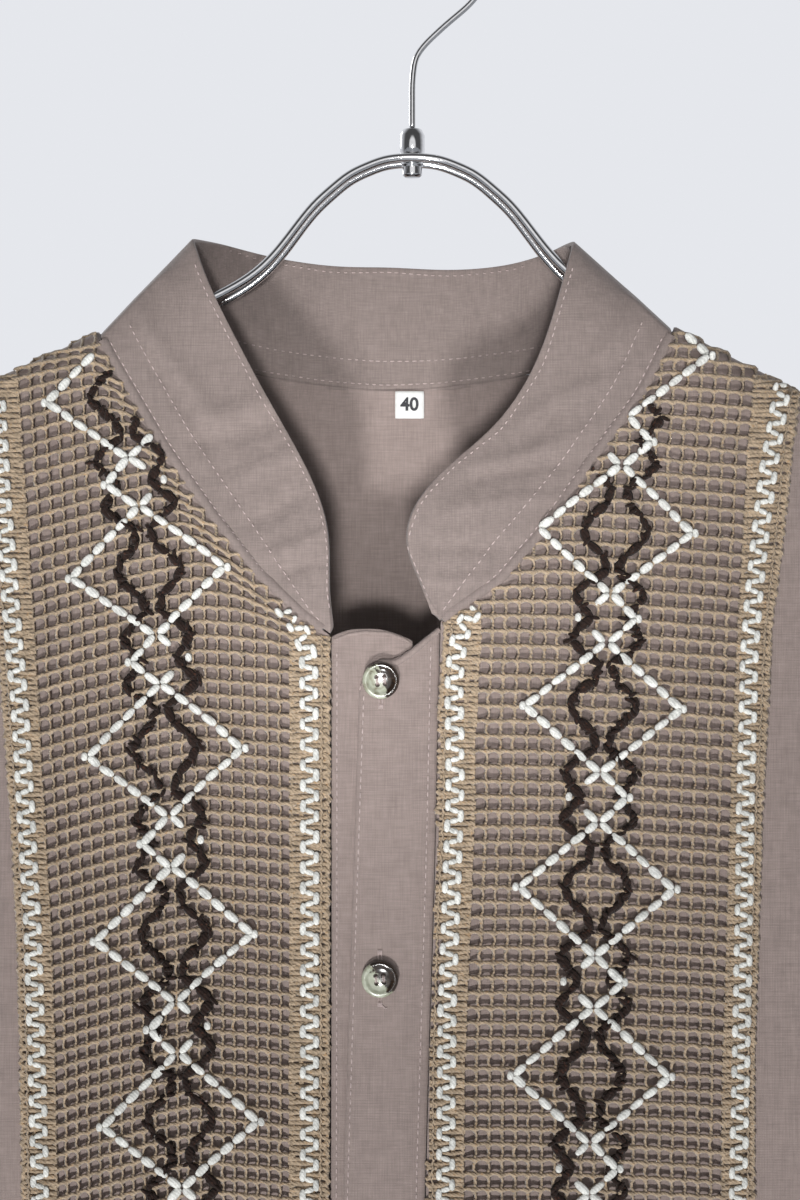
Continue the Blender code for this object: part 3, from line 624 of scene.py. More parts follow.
def yarn_tree(material):
    """Lines of a mesh become round yarn, thicker or thinner by each point's own "thick"."""
    tree, given = new_tree("yarn", ("Yarn radius", "NodeSocketFloat"), ("Yarn sides", "NodeSocketInt"))
    thick = read_attribute(tree, "thick", "FLOAT")
    line = add_node(tree, "GeometryNodeMeshToCurve", Mesh=given["Geometry"])
    curve = add_node(tree, "GeometryNodeSetCurveRadius", Curve=line.outputs["Curve"], Radius=thick)
    radius, sides = given["Yarn radius"], given["Yarn sides"]
    circle = add_node(tree, "GeometryNodeCurvePrimitiveCircle", Radius=radius, Resolution=sides)
    tube = add_node(
        tree,
        "GeometryNodeCurveToMesh",
        Curve=curve.outputs["Curve"],
        Profile_Curve=circle.outputs["Curve"],
        Scale=thick,
        Fill_Caps=True,
    )
    end_tree(tree, tube.outputs["Mesh"], material)
    return tree


def fuller(tree, oval):
    """Fills an oval out towards its ends, as a plump stitch is."""
    place = add_node(tree, "GeometryNodeInputPosition").outputs["Position"]
    split = add_node(tree, "ShaderNodeSeparateXYZ", Vector=place).outputs
    square = calculate(tree, "MULTIPLY", split["Z"], split["Z"])
    wider = calculate(tree, "MULTIPLY_ADD", square, PLUMPNESS, 1.0)
    x, y = (calculate(tree, "MULTIPLY", split[axis], wider) for axis in ("X", "Y"))
    join = add_node(tree, "ShaderNodeCombineXYZ", X=x, Y=y, Z=split["Z"])
    move = add_node(tree, "GeometryNodeSetPosition", Geometry=oval, Position=join.outputs["Vector"])
    return move.outputs["Geometry"]


def stitch_tree(material):
    """A plump oval of thread on each point, turned and sized by the point's own "turn" and "size"."""
    tree, given = new_tree("stitches", ("Stitch sides", "NodeSocketInt"), ("Stitch rings", "NodeSocketInt"))
    sides, rings = given["Stitch sides"], given["Stitch rings"]
    oval = add_node(tree, "GeometryNodeMeshUVSphere", Segments=sides, Rings=rings, Radius=0.5)
    turn = add_node(tree, "FunctionNodeEulerToRotation", Euler=read_attribute(tree, "turn", "FLOAT_VECTOR"))
    place = add_node(
        tree,
        "GeometryNodeInstanceOnPoints",
        Points=given["Geometry"],
        Instance=fuller(tree, oval.outputs["Mesh"]),
        Rotation=turn.outputs["Rotation"],
        Scale=read_attribute(tree, "size", "FLOAT_VECTOR"),
    )
    end_tree(tree, place.outputs["Instances"], material)
    return tree


def grown(piece, tree, **sizes):
    """Runs a tree on the piece with its named inputs set, and keeps the plain mesh that it makes."""
    modifier = piece.modifiers.new(tree.name, "NODES")
    modifier.node_group = tree
    for socket in tree.interface.items_tree:
        key = socket.name.replace(" ", "_").lower()
        if socket.in_out == "INPUT" and key in sizes:
            modifier[socket.identifier] = sizes[key]
    apply_modifiers(piece)
    return piece


def yarn_piece(name, lines, tree, radius, sides):
    """Yarn along lines of (x, y, drop, thickness) points, all in one mesh."""
    points, thick, edges = [], [], []
    for line in lines:
        first = len(points)
        points += [(x, y, -drop) for x, y, drop, _ in line]
        thick += [share for _, _, _, share in line]
        edges += [(first + step, first + step + 1) for step in range(len(line) - 1)]
    piece = new_piece(name, points, edges=edges)
    piece.data.attributes.new("thick", "FLOAT", "POINT").data.foreach_set("value", thick)
    return grown(piece, tree, yarn_radius=radius * MM, yarn_sides=sides)


def stitch_piece(name, stitches, tree, sides, rings):
    """Oval stitches: each (start, end, outward way, width, height), points as x, y, z in millimetres."""
    points, turns, sizes = [], [], []
    for start, end, outward, width, height in stitches:
        start, end = Vector(start), Vector(end)
        along = end - start
        middle = (start + end) / 2
        length = along.length
        along.normalize()
        side = along.cross(Vector(outward)).normalized()
        up = side.cross(along)
        turn = Matrix((side, up, along)).transposed().to_euler()
        points.append(middle)
        turns += [turn.x, turn.y, turn.z]
        sizes += [width * MM, height * MM, length * MM]
    piece = new_piece(name, points)
    piece.data.attributes.new("turn", "FLOAT_VECTOR", "POINT").data.foreach_set("vector", turns)
    piece.data.attributes.new("size", "FLOAT_VECTOR", "POINT").data.foreach_set("vector", sizes)
    return grown(piece, tree, stitch_sides=sides, stitch_rings=rings)


def colour_ramp(tree, value, *stops):
    """Colours along a value: each stop is a place from 0 to 1 and a red, green, blue colour."""
    ramp = add_node(tree, "ShaderNodeValToRGB", Fac=value)
    marks = ramp.color_ramp.elements
    while len(marks) < len(stops):
        marks.new(0.5)
    for mark, (place, colour) in zip(marks, stops):
        mark.position = place
        mark.color = (*colour, 1.0)
    return ramp.outputs["Color"]


class Finish:
    """A material being built: its shader, its coordinates and short calls for the nodes it needs."""

    def __init__(self, name, roughness, **fixed):
        self.material = bpy.data.materials.new(name)
        self.material.use_nodes = True
        self.tree = self.material.node_tree
        self.shader = self.tree.nodes["Principled BSDF"].inputs
        self.shader["Roughness"].default_value = roughness
        for socket, value in fixed.items():
            self.shader[socket.replace("_", " ")].default_value = value
        self.place = add_node(self.tree, "ShaderNodeTexCoord").outputs["Object"]

    def stretched(self, *scale):
        """Coordinates scaled on each axis, so a noise on them becomes streaks."""
        return add_node(self.tree, "ShaderNodeMapping", Vector=self.place, Scale=scale).outputs["Vector"]

    def noise(self, scale, detail=2.0, vector=None, distortion=0.0):
        inputs = {"Scale": scale, "Detail": detail, "Distortion": distortion}
        return add_node(self.tree, "ShaderNodeTexNoise", Vector=vector or self.place, **inputs).outputs["Fac"]

    def waves(self, period, direction, distortion):
        """Even bands along one axis, each period in millimetres."""
        scale = math.pi / 10 / (period * MM)
        inputs = {"Scale": scale, "Distortion": distortion, "Detail": 2.0, "Detail_Scale": 1.5}
        waves = add_node(self.tree, "ShaderNodeTexWave", Vector=self.place, **inputs)
        waves.bands_direction = direction
        return waves.outputs["Fac"]

    def sum(self, first, second, weight):
        """First plus second times a weight."""
        return calculate(self.tree, "MULTIPLY_ADD", second, weight, first)

    def product(self, first, second):
        return calculate(self.tree, "MULTIPLY", first, second)

    def ramp(self, value, *stops):
        return colour_ramp(self.tree, value, *stops)

    def blend(self, share, first, second):
        blend = add_node(self.tree, "ShaderNodeMix")
        blend.data_type = "RGBA"
        for value, socket in ((share, "Factor"), (first, 6), (second, 7)):
            put(self.tree, value, blend.inputs[socket])
        return blend.outputs[2]

    def colour(self, value):
        put(self.tree, value, self.shader["Base Color"])

    def roughness(self, value, low, high):
        ranged = add_node(self.tree, "ShaderNodeMapRange", Value=value, To_Min=low, To_Max=high)
        put(self.tree, ranged.outputs["Result"], self.shader["Roughness"])

    def bump(self, height, strength, depth):
        """Relief of a depth in millimetres."""
        bump = add_node(self.tree, "ShaderNodeBump", Height=height, Strength=strength, Distance=depth * MM)
        put(self.tree, bump.outputs["Normal"], self.shader["Normal"])


def shade(colour, factor):
    return tuple(min(1.0, part * factor) for part in colour)


def make_woven(name, colour):
    """Plain weave with slubs: fine crossed threads, streaks of thicker yarn and a soft mottle."""
    finish = Finish(name, 0.88, Sheen_Weight=0.22, Sheen_Roughness=0.45, Specular_IOR_Level=0.25)
    warp, weft = (finish.waves(THREAD_PITCH, axis, 1.2) for axis in ("X", "Z"))
    slub_across = finish.noise(1.0, 3.0, finish.stretched(110, 900, 2300))
    slub_down = finish.noise(1.0, 3.0, finish.stretched(2300, 900, 110))
    mottle = finish.noise(260, 4.0)
    weave = finish.sum(finish.product(warp, weft), slub_across, 0.8)
    weave = finish.sum(weave, slub_down, 0.6)
    tone = finish.sum(finish.product(slub_across, slub_down), mottle, 0.35)
    tone = finish.sum(tone, finish.product(warp, weft), 0.08)
    finish.colour(finish.ramp(tone, (0.22, shade(colour, 0.78)), (0.46, colour), (0.72, shade(colour, 1.22))))
    finish.roughness(mottle, 0.8, 0.95)
    finish.bump(weave, 0.42, 0.16)
    return finish.material


def make_yarn(name, colour, fleck, depth=0.3, sheen=0.35):
    """Soft yarn: fuzzy fibres, uneven dye and small flecks."""
    finish = Finish(name, 0.92, Sheen_Weight=sheen, Sheen_Roughness=0.5, Specular_IOR_Level=0.2)
    fibres = finish.noise(2600, 3.0, distortion=0.6)
    plies = finish.waves(0.8, "DIAGONAL", 2.5)
    dye = finish.noise(420, 3.0)
    tone = finish.sum(finish.product(fibres, dye), plies, 0.14)
    tone = finish.sum(tone, dye, 0.3)
    body = finish.ramp(tone, (0.25, shade(colour, 0.62)), (0.5, colour), (0.72, shade(colour, 1.3)))
    flecks = finish.ramp(finish.noise(950, 1.0), (0.62, (0, 0, 0)), (0.72, (1, 1, 1)))
    tint = finish.ramp(dye, (0.0, fleck), (1.0, fleck))
    finish.colour(finish.blend(finish.product(flecks, dye), body, tint))
    finish.bump(finish.sum(plies, fibres, 1.1), 0.6, depth)
    return finish.material


def make_plain_thread(name, colour):
    """Tight sewing thread with a faint twist and a slight lustre."""
    finish = Finish(name, 0.6, Sheen_Weight=0.2, Specular_IOR_Level=0.4)
    finish.colour(finish.ramp(finish.noise(700), (0.3, shade(colour, 0.85)), (0.7, shade(colour, 1.12))))
    finish.bump(finish.waves(0.35, "DIAGONAL", 0.6), 0.4, 0.06)
    return finish.material


def make_button_finish():
    """Polished marbled resin: cloudy green ivory that runs into dark brown."""
    finish = Finish("button_resin", 0.16, Coat_Weight=0.6, Coat_Roughness=0.08, Specular_IOR_Level=0.55)
    cloud = finish.noise(190, 4.0, distortion=1.6)
    vein = finish.noise(520, 3.0, distortion=3.0)
    pale = finish.ramp(cloud, *zip((0.3, 0.5, 0.7), BUTTON_PALE))
    dark = finish.ramp(vein, *zip((0.35, 0.62, 0.8), BUTTON_BROWN))
    side = add_node(finish.tree, "ShaderNodeAttribute")
    side.attribute_name = "dark_side"
    patches = finish.sum(finish.noise(160, 2.0, distortion=0.8), vein, 0.3)
    mask = finish.ramp(finish.sum(patches, side.outputs["Fac"], 0.55), (0.58, (0, 0, 0)), (0.66, (1, 1, 1)))
    finish.colour(finish.blend(mask, pale, dark))
    finish.roughness(vein, 0.12, 0.24)
    finish.bump(cloud, 0.1, 0.05)
    return finish.material


def make_chrome():
    """Bright plated wire with faint wiping marks."""
    finish = Finish("chrome_plate", 0.09, Metallic=1.0)
    marks = finish.noise(1.0, 3.0, finish.stretched(90, 900, 900))
    finish.colour(finish.ramp(marks, (0.3, (0.68, 0.68, 0.69)), (0.7, (0.78, 0.78, 0.79))))
    finish.roughness(marks, 0.05, 0.14)
    finish.bump(marks, 0.03, 0.01)
    return finish.material


def make_label_finish():
    """Smooth white satin tape."""
    finish = Finish("label_tape", 0.55, Sheen_Weight=0.2)
    finish.colour(finish.ramp(finish.noise(500), (0.3, (0.72, 0.72, 0.7)), (0.7, (0.82, 0.82, 0.8))))
    finish.bump(finish.waves(0.3, "X", 0.3), 0.3, 0.05)
    return finish.material


def make_floor_finish():
    """Plain pale matt floor."""
    finish = Finish("floor_paint", 0.85)
    finish.colour(finish.ramp(finish.noise(6), (0.3, (0.7, 0.72, 0.74)), (0.7, (0.74, 0.76, 0.78))))
    return finish.material


def arch_left(share):
    """How far a row of the left net hangs below its peak, from its inner end (0) to its outer end (1)."""
    return 2.2 * ((0.35 - share) / 0.35) ** 1.2 if share < 0.35 else 14.0 * ((share - 0.35) / 0.65) ** 1.25


def arch_right(share):
    """The same for the right net, which peaks at its inner end."""
    return 5.0 * share**1.8


class Panel:
    """One crochet panel: where its columns and rows run on the front that carries it."""

    def __init__(self, side, tree, collar_tree):
        left = side == "left"
        self.tree, self.collar_tree = tree, collar_tree
        self.seed, self.inner = (1, 1) if left else (2, -1)
        self.table = NET_LEFT if left else NET_RIGHT
        self.arch = arch_left if left else arch_right
        self.columns = LEFT_COLUMNS if left else RIGHT_COLUMNS
        self.pitch = LEFT_PITCH if left else RIGHT_PITCH
        self.seam = LEFT_SEAM if left else RIGHT_SEAM
        self.middle = LEFT_MIDDLE if left else RIGHT_MIDDLE
        self.big = LEFT_BIG if left else RIGHT_BIG
        self.lean = LEFT_LEAN if left else RIGHT_LEAN
        self.follow = LEFT_FOLLOW if left else RIGHT_FOLLOW

    def seam_drop(self, x):
        return float(np.interp(x, *zip(*self.seam)))

    def row_drop(self, base, share):
        """Drop of a row at a share of the net's width, counted from its peak, with its lean by the collar."""
        share = min(max(share, 0), 1)
        drop = base + self.arch(share)
        below = max(drop - self.seam_drop(self.net_x(drop, share)), 0)
        return drop + self.lean * max(0.0, 1 - below / LEAN_REACH) ** 2

    def edge_x(self, drop, column):
        return look_up(self.table, drop, column)

    def net_x(self, drop, share):
        """x at a share of the way from the net's inner end to its outer end."""
        return mix(self.edge_x(drop, 2), self.edge_x(drop, 3), share)

    def share_at(self, x, drop):
        inner, outer = self.edge_x(drop, 2), self.edge_x(drop, 3)
        return min(max((x - inner) / (outer - inner), 0), 1)

    def height_on(self, x, drop, proud, margin=0.0):
        """y of a point that stands proud of the cloth, or None past the cloth's edge or the seam's margin.

        With a margin below nought the point may lie on the collar beside its seam.
        """
        seam_drop = self.seam_drop(x)
        if drop > HEM_DROP - 3 or drop < seam_drop + margin:
            return None
        y = surface_y(self.tree, x, drop)
        if margin < 0:
            over = surface_y(self.collar_tree, x, drop)
            y = over if y is None else y if over is None else min(y, over)
        tucked = 1 if margin < 0 else -0.5 + 1.5 * float(smooth((drop - seam_drop) / SEAM_TUCK))
        return None if y is None or y > 2 else y - proud * tucked

    def row_drops(self):
        """Drops of the rows at their peaks; the first ones start above the shoulder and are cut off by it."""
        return [NET_TOP + row * self.pitch for row in range(-4, int(NET_LENGTH / self.pitch) + 1)]


def runs_of(points, shortest=3):
    """Splits a line where its points leave the cloth."""
    runs, run = [], []
    for point in points + [None]:
        if point:
            run.append(point)
            continue
        if len(run) >= shortest:
            runs.append(run)
        run = []
    return runs


def net_rows(panel):
    """Crochet bands across the panel, thicker where each bar hangs."""
    lines = []
    last = panel.columns * 3

    def point_at(number, base, step):
        share, whole = step / last, round(step)
        at_bar = whole % 3 == 0
        drop = panel.row_drop(base, share) + 0.16 * uneven(whole + number * 91, panel.seed)
        drop += 0.26 if at_bar else -0.2
        x = panel.net_x(drop, share)
        proud = NET_PROUD + (0.2 if at_bar else 0) + 0.15 * uneven(whole * 7 + number, 3)
        y = panel.height_on(x, drop, proud, SEAM_MARGIN)
        thick = (1.45 if at_bar else 1.0) + 0.14 * uneven(number * 17 + whole, 5)
        return None if y is None else (x, y, drop, thick)

    for number, base in enumerate(panel.row_drops()):
        points = [point_at(number, base, step) for step in range(-1, last + 2)]
        inside = [step for step, point in enumerate(points, -1) if point]
        if inside and inside[0] > -1:
            closer = [point_at(number, base, inside[0] - part) for part in (0.8, 0.6, 0.4, 0.2)]
            points = closer + points[inside[0] + 1 :]
        lines += runs_of(points)
    return lines


def net_bars(panel):
    """Thin curved bars between one row and the next, bowed to one side and then the other."""
    lines = []
    for number, base in enumerate(panel.row_drops()):
        for column in range(panel.columns + 1):
            share = column / panel.columns
            side = -1 if uneven(number + column * 7, 6) > 0.6 else 1
            bow = BAR_BOW * side * (1 + 0.5 * uneven(number * 31 + column, 7))
            points = []
            top, low = panel.row_drop(base, share), panel.row_drop(base + panel.pitch, share)
            for t, aside, thick in BAR:
                drop = mix(top + 0.4, low - 0.4, t)
                x = panel.net_x(drop, share) + bow * aside
                y = panel.height_on(x, drop, NET_PROUD - 0.3 * math.sin(math.pi * t), SEAM_MARGIN)
                points.append(None if y is None else (x, y, drop, thick))
            lines += runs_of(points, shortest=4)
    return lines


def border_ribs(panel, inner):
    """Dense crochet along a side of the panel: strands that run to its edge, loop round and come back."""
    net_column, edge_column = (2, 1) if inner else (3, 4)
    lines = []
    for number in range(int(NET_LENGTH / RIB_PITCH)):
        start = NET_TOP + number * RIB_PITCH
        from_x, to_x = panel.edge_x(start, net_column), panel.edge_x(start, edge_column)
        points = []
        for step, (share, below) in enumerate(RIB):
            wobble = uneven(number * 13 + step, panel.seed + 4)
            drop = start + below + 0.3 * wobble
            x = mix(from_x, to_x, share) + 0.2 * uneven(number * 5 + step, 9)
            y = panel.height_on(x, drop, RIB_PROUD + 0.35 * wobble, 0.6)
            points.append(None if y is None else (x, y, drop, 0.95 + 0.24 * uneven(number * 11 + step, 14)))
        lines += runs_of(points)
    return lines


def border_cords(panel):
    """Chains down each border: a thin one on the ribs, one at the edge and thick ones under the ribs."""
    lines = []
    for net_column, edge_column in ((2, 1), (3, 4)):
        for share, proud, thick, spacing in CORDS:
            points = []
            for step in range(int(NET_LENGTH / spacing)):
                drop = NET_TOP + step * spacing
                x = mix(panel.edge_x(drop, net_column), panel.edge_x(drop, edge_column), share)
                x += 0.3 * (1 if step % 2 else -1)
                y = panel.height_on(x, drop, proud, 0.8)
                points.append(None if y is None else (x, y, drop, thick + 0.2 * uneven(step, 8)))
            lines += runs_of(points)
    return lines


def stitch_on(panel, x_from, drop_from, x_to, drop_to, width, height, proud, reach=0.0):
    """One oval stitch lying on the panel, or None past the cloth's edge."""
    y_from = panel.height_on(x_from, drop_from, proud, -reach)
    y_to = panel.height_on(x_to, drop_to, proud, -reach)
    near_shoulder = min(drop_from, drop_to) < SHOULDER_DROP
    if near_shoulder and surface_y(panel.tree, x_from, min(drop_from, drop_to) - 2.4) is None:
        return None
    if y_from is None or y_to is None:
        return None
    return (x_from, y_from, -drop_from), (x_to, y_to, -drop_to), (0, -1, 0), width, height


class Line:
    """A line of points that is read by the distance along it."""

    def __init__(self, points):
        self.points = np.array(points, float)
        steps = np.linalg.norm(np.diff(self.points, axis=0), axis=1)
        self.lengths = np.concatenate([[0], np.cumsum(steps)])
        self.length = self.lengths[-1]

    def at(self, distance):
        return np.stack([np.interp(distance, self.lengths, column) for column in self.points.T], axis=-1)

    def even(self, count):
        return self.at(np.linspace(0, self.length, count))

    def beside(self, distance, aside):
        """A point at a distance along the line and a distance to its side."""
        place = self.at(distance)
        ahead = self.at(min(distance + 1, self.length)) - place
        way = ahead / max(np.linalg.norm(ahead), 1e-6)
        return place + aside * np.array([way[1], -way[0]])


def braid_stitches(panel, path):
    """White braid: an upright oval on the left, a link, one on the right half a period lower, a link back."""
    stitches = []
    line = Line(path)
    length, width, *upright_surface = BRAID_UPRIGHT
    link_length, *link_shape = BRAID_LINK
    for number in range(int((line.length - 4) / BRAID_PERIOD * 2)):
        centre = (number + 0.5) * BRAID_PERIOD / 2
        side = 1 if number % 2 else -1
        size = 1 + 0.08 * uneven(number, panel.seed + 11)
        lean = 0.35 * uneven(number, panel.seed + 12)
        start = line.beside(centre - length / 2 * size, side * (BRAID_HALF + lean * 0.3))
        end = line.beside(centre + length / 2 * size, side * (BRAID_HALF - lean * 0.3))
        stitches.append(stitch_on(panel, *start, *end, width * size, *upright_surface))
        below = centre + BRAID_PERIOD / 4 + 0.2 * lean
        start = line.beside(below - 0.45, side * link_length / 2)
        end = line.beside(below + 0.45, -side * link_length / 2)
        stitches.append(stitch_on(panel, *start, *end, *link_shape))
    return [stitch for stitch in stitches if stitch]


def chart_marks(panel, chart, counts):
    """Points down one strand: (drop, half width) at every stitch end, mirrored between big diamonds."""
    marks = []
    for centre, following in zip(panel.big, panel.big[1:]):
        scale = (following - centre) / REPEAT
        down = [(centre + below * scale, half) for below, half in chart]
        up = [(following - below * scale, half) for below, half in reversed(chart)]
        for ends, numbers in ((down, counts), (up, counts[::-1])):
            for (drop, half), (next_drop, next_half), number in zip(ends, ends[1:], numbers):
                shares = [part / number for part in range(number)]
                marks += [(mix(drop, next_drop, share), mix(half, next_half, share)) for share in shares]
    return marks


def is_tip(marks, number):
    """A point wider than both its neighbours."""
    return 0 < number < len(marks) - 1 and marks[number - 1][1] < marks[number][1] > marks[number + 1][1]


def charted(panel, side, drop, half):
    """A charted point's x and drop, a half width to one side of the panel's middle line."""
    middle = look_up(panel.middle, drop, 1)
    x = middle + side * half
    bend = panel.arch(panel.share_at(x, drop)) - panel.arch(panel.share_at(middle, drop))
    return np.array([x, drop + panel.follow * bend])


def strand_stitches(panel, chart, counts, side, stitch, lift=0.0):
    """Stitches end to end along one side of the diamonds, each a little different from the next."""
    width, height, proud, gap, wild = stitch
    stitches = []
    marks = chart_marks(panel, chart, counts)
    white = chart is WHITE_CHART
    surface = (height, proud + lift, STITCH_REACH if white else 0.0)
    for number, (mark, following) in enumerate(zip(marks, marks[1:])):
        small_tip = [at for at in (number, number + 1) if is_tip(marks, at) and marks[at][1] < 15]
        if white and is_tip(marks, number):
            x, drop = charted(panel, side, mark[0], mark[1] + 0.9)
            stitches.append(stitch_on(panel, x, drop - 1.5, x + 0.2 * side, drop + 1.5, 2.3, *surface))
        if white and small_tip and side == panel.inner:
            continue
        start, end = (
            charted(panel, side, drop, half + 0.35 * wild * uneven(at, panel.seed + 21))
            for at, (drop, half) in enumerate((mark, following), number)
        )
        ahead = gap * (end - start) / np.linalg.norm(end - start)
        size = 1 + 0.12 * wild * uneven(number * 3, panel.seed + side + 31)
        stitches.append(stitch_on(panel, *(start + ahead), *(end - ahead), width * size, *surface))
    return [stitch for stitch in stitches if stitch]


def loose_stitches(panel, side):
    """Short stitches thrown across the dark strands, which make them ragged."""
    stitches = []
    marks = chart_marks(panel, DARK_CHART, [2 * count for count in DARK_COUNTS])
    for number, (drop, half) in enumerate(marks):
        x, down = charted(panel, side, drop, half + 1.1 * uneven(number, panel.seed + side + 61))
        angle = math.pi * uneven(number * 7, panel.seed + 62)
        reach = 1.7 + 0.5 * uneven(number, 63)
        across, along = reach * math.cos(angle), reach * math.sin(angle)
        stitches.append(stitch_on(panel, x - across, down - along, x + across, down + along, *LOOSE_STITCH))
    return [stitch for stitch in stitches if stitch]


def even_points(points, spacing):
    """Points at an even spacing along a line of points."""
    line = Line(points)
    return line.even(max(int(line.length / spacing), 2) + 1)


def between(lower, upper, share, count=24):
    """A line part of the way from one edge to another, both taken end to end."""
    return mix(Line(lower).even(count), Line(upper).even(count), share)


def running_stitches(points, tree, start=IN_FRONT, way=1):
    """Stitches along a line of x and drop, laid on the first cloth that is met along Y."""
    stitches = []
    marks = even_points(points, STITCH + STITCH_GAP)
    for number, (mark, following) in enumerate(zip(marks, marks[1:])):
        step = (following - mark) / np.linalg.norm(following - mark)
        ends = []
        for x, drop in (mark, mark + step * STITCH * (1 + 0.12 * uneven(number, 41))):
            y = surface_y(tree, x, drop, start, way)
            if y is not None:
                ends.append((x, y - way * STITCH_HEIGHT * 0.25, -drop))
        if len(ends) == 2 and abs(ends[0][1] - ends[1][1]) < 2:
            stitches.append((*ends, (0, -way, 0), STITCH_WIDTH, STITCH_HEIGHT))
    return stitches


def collar_sewing(tree):
    """Rows beside the neck seam and under the upper edge, outside in front and inside at the back."""
    stitches = []
    for seam, top in ((LEFT_SEAM[::-1], LEFT_TOP), (RIGHT_SEAM, RIGHT_TOP)):
        for share in (0.06, 0.26, 0.95):
            stitches += running_stitches(between(seam, top, share)[1:-1], tree)
    for share in (0.05, 0.24, 0.955):
        stitches += running_stitches(between(BACK_SEAM, BACK_TOP, share), tree, start=2.0)
    return stitches


def side_line(table, aside, start, end):
    """A line beside an edge whose x is tabled by drop."""
    return [(look_up(table, drop, 1) + aside, drop) for drop in np.linspace(start, end, 40)]


def placket_sewing(tree):
    """Rows inside both edges of the over-placket, round its top, and down the under-placket."""
    lines = [
        side_line([(262, -17.4)] + OVER_LEFT, 1.4, 268, HEM_DROP - 3),
        side_line(OVER_RIGHT, -3.0, 252, HEM_DROP - 3),
        side_line(UNDER_LEFT, 2.3, 254, HEM_DROP - 3),
        [(x + 0.6, drop + 1.7) for x, drop in OVER_TOP],
    ]
    return [stitch for line in lines for stitch in running_stitches(line, tree)]


def neck_seam(collar_tree, front_tree, back_tree):
    """The turned-in seam that joins the collar to the fronts and the back."""
    lines = []
    in_front, behind = (front_tree, IN_FRONT, FRONT_ROLL), (back_tree, BETWEEN, BACK_ROLL)
    for seam, (tree, start, roll) in ((LEFT_SEAM, in_front), (RIGHT_SEAM, in_front), (BACK_SEAM, behind)):
        line = []
        inside, up, thick = roll
        for x, drop in even_points(seam, 2.5):
            cloth_y = surface_y(tree, x, drop + 1.6, start)
            collar_y = surface_y(collar_tree, x, drop - 1.6, start)
            if cloth_y is not None and collar_y is not None and abs(cloth_y - collar_y) < 4:
                line.append((x, (cloth_y + collar_y) / 2 + inside, drop - up, thick))
        lines += runs_of(line)
    return lines


def rolled_edges(over_tree, under_tree):
    """The turned top edges of the two plackets, thicker in the middle."""
    lines = []
    for top, tree, thick in ((OVER_TOP, over_tree, 1.25), (UNDER_TOP, under_tree, 0.8)):
        marks = even_points([(x + 0.6, drop + 0.9) for x, drop in top], 1.2)
        line = []
        for number, (x, drop) in enumerate(marks):
            y = surface_y(tree, x, drop)
            swell = 0.75 + 0.25 * math.sin(math.pi * number / (len(marks) - 1)) + 0.06 * uneven(number, 71)
            line.append(None if y is None else (x, y + 0.25, drop, thick * swell))
        lines += runs_of(line)
    return lines


def in_front_and_behind(points, front_tree, back_tree):
    """Stitches along a line on the front of one cloth, and along the same line on the back of another."""
    return running_stitches(points, front_tree) + running_stitches(points, back_tree, BEHIND, -1)


def hem_sewing(front_tree, back_tree):
    """Two rows round the hem, one round each armhole, in front and behind."""
    stitches = []
    for up in (3.0, 18.0):
        aside = np.linspace(-278, 278, 50)
        hem = [(SHIRT_X + x, HEM_DROP - up - HEM_RISE * (x / HALF_WIDTH) ** 2) for x in aside]
        stitches += in_front_and_behind(hem, front_tree, back_tree)
    (top_x, top), (low_x, low) = ARMHOLE
    for side in (-1, 1):
        shares = np.linspace(0.04, 0.97, 24)
        armhole = [(SHIRT_X + side * (mix(top_x, low_x, t**1.15) - 7), mix(top, low, t)) for t in shares]
        stitches += in_front_and_behind(armhole, front_tree, back_tree)
    return stitches


def cuff_sewing(tree):
    """A row above each cuff's edge, front and back."""
    stitches = []
    (top_x, top), (low_x, low) = CUFF
    for side in (-1, 1):
        shares = np.linspace(0.03, 0.97, 20)
        cuff = [(SHIRT_X + side * mix(top_x, low_x, t), mix(top, low, t)) for t in shares]
        stitches += in_front_and_behind(cuff, tree, tree)
    return stitches


def turned_piece(name, profile, sides, place):
    """A solid turned from a profile of radius and height; place gives x, y and z for a point's own three."""
    points, faces, starts = [], [], []
    for radius, height in profile:
        starts.append(len(points))
        for number in range(sides if radius else 1):
            angle = 2 * math.pi * number / sides
            points.append(place(radius * math.cos(angle), radius * math.sin(angle), height))
    for (low_radius, _), (high_radius, _), low, high in zip(profile, profile[1:], starts, starts[1:]):
        for number in range(sides):
            after = (number + 1) % sides
            if not low_radius:
                faces.append((low, high + after, high + number))
            elif not high_radius:
                faces.append((low + number, low + after, high))
            else:
                faces.append((low + number, low + after, high + after, high + number))
    piece = new_piece(name, points, faces)
    set_outwards(piece)
    return piece


def set_outwards(piece):
    """Turns all the faces outwards."""
    shape = bmesh.new()
    shape.from_mesh(piece.data)
    bmesh.ops.recalc_face_normals(shape, faces=shape.faces)
    shape.to_mesh(piece.data)
    shape.free()


def joined(name, pieces):
    """One piece from several."""
    shape = bmesh.new()
    for piece in pieces:
        shape.from_mesh(piece.data)
        bpy.data.objects.remove(piece)
    mesh = bpy.data.meshes.new(name)
    shape.to_mesh(mesh)
    shape.free()
    mesh.shade_smooth()
    return linked(name, mesh)


def button_places():
    """Each button's number and the x and drop of its middle."""
    return [
        (number, BUTTON_X + BUTTON_DRIFT * BUTTON_PITCH * number, FIRST_BUTTON_DROP + BUTTON_PITCH * number)
        for number in range(BUTTONS)
    ]


def turned_on_placket(name, profile, sides, x, z):
    """A piece turned about a line along Y, from the plane of the buttons' backs towards the viewer."""
    return turned_piece(name, profile, sides, lambda a, b, height: (x + a, BUTTON_BACK_Y - height, z + b))


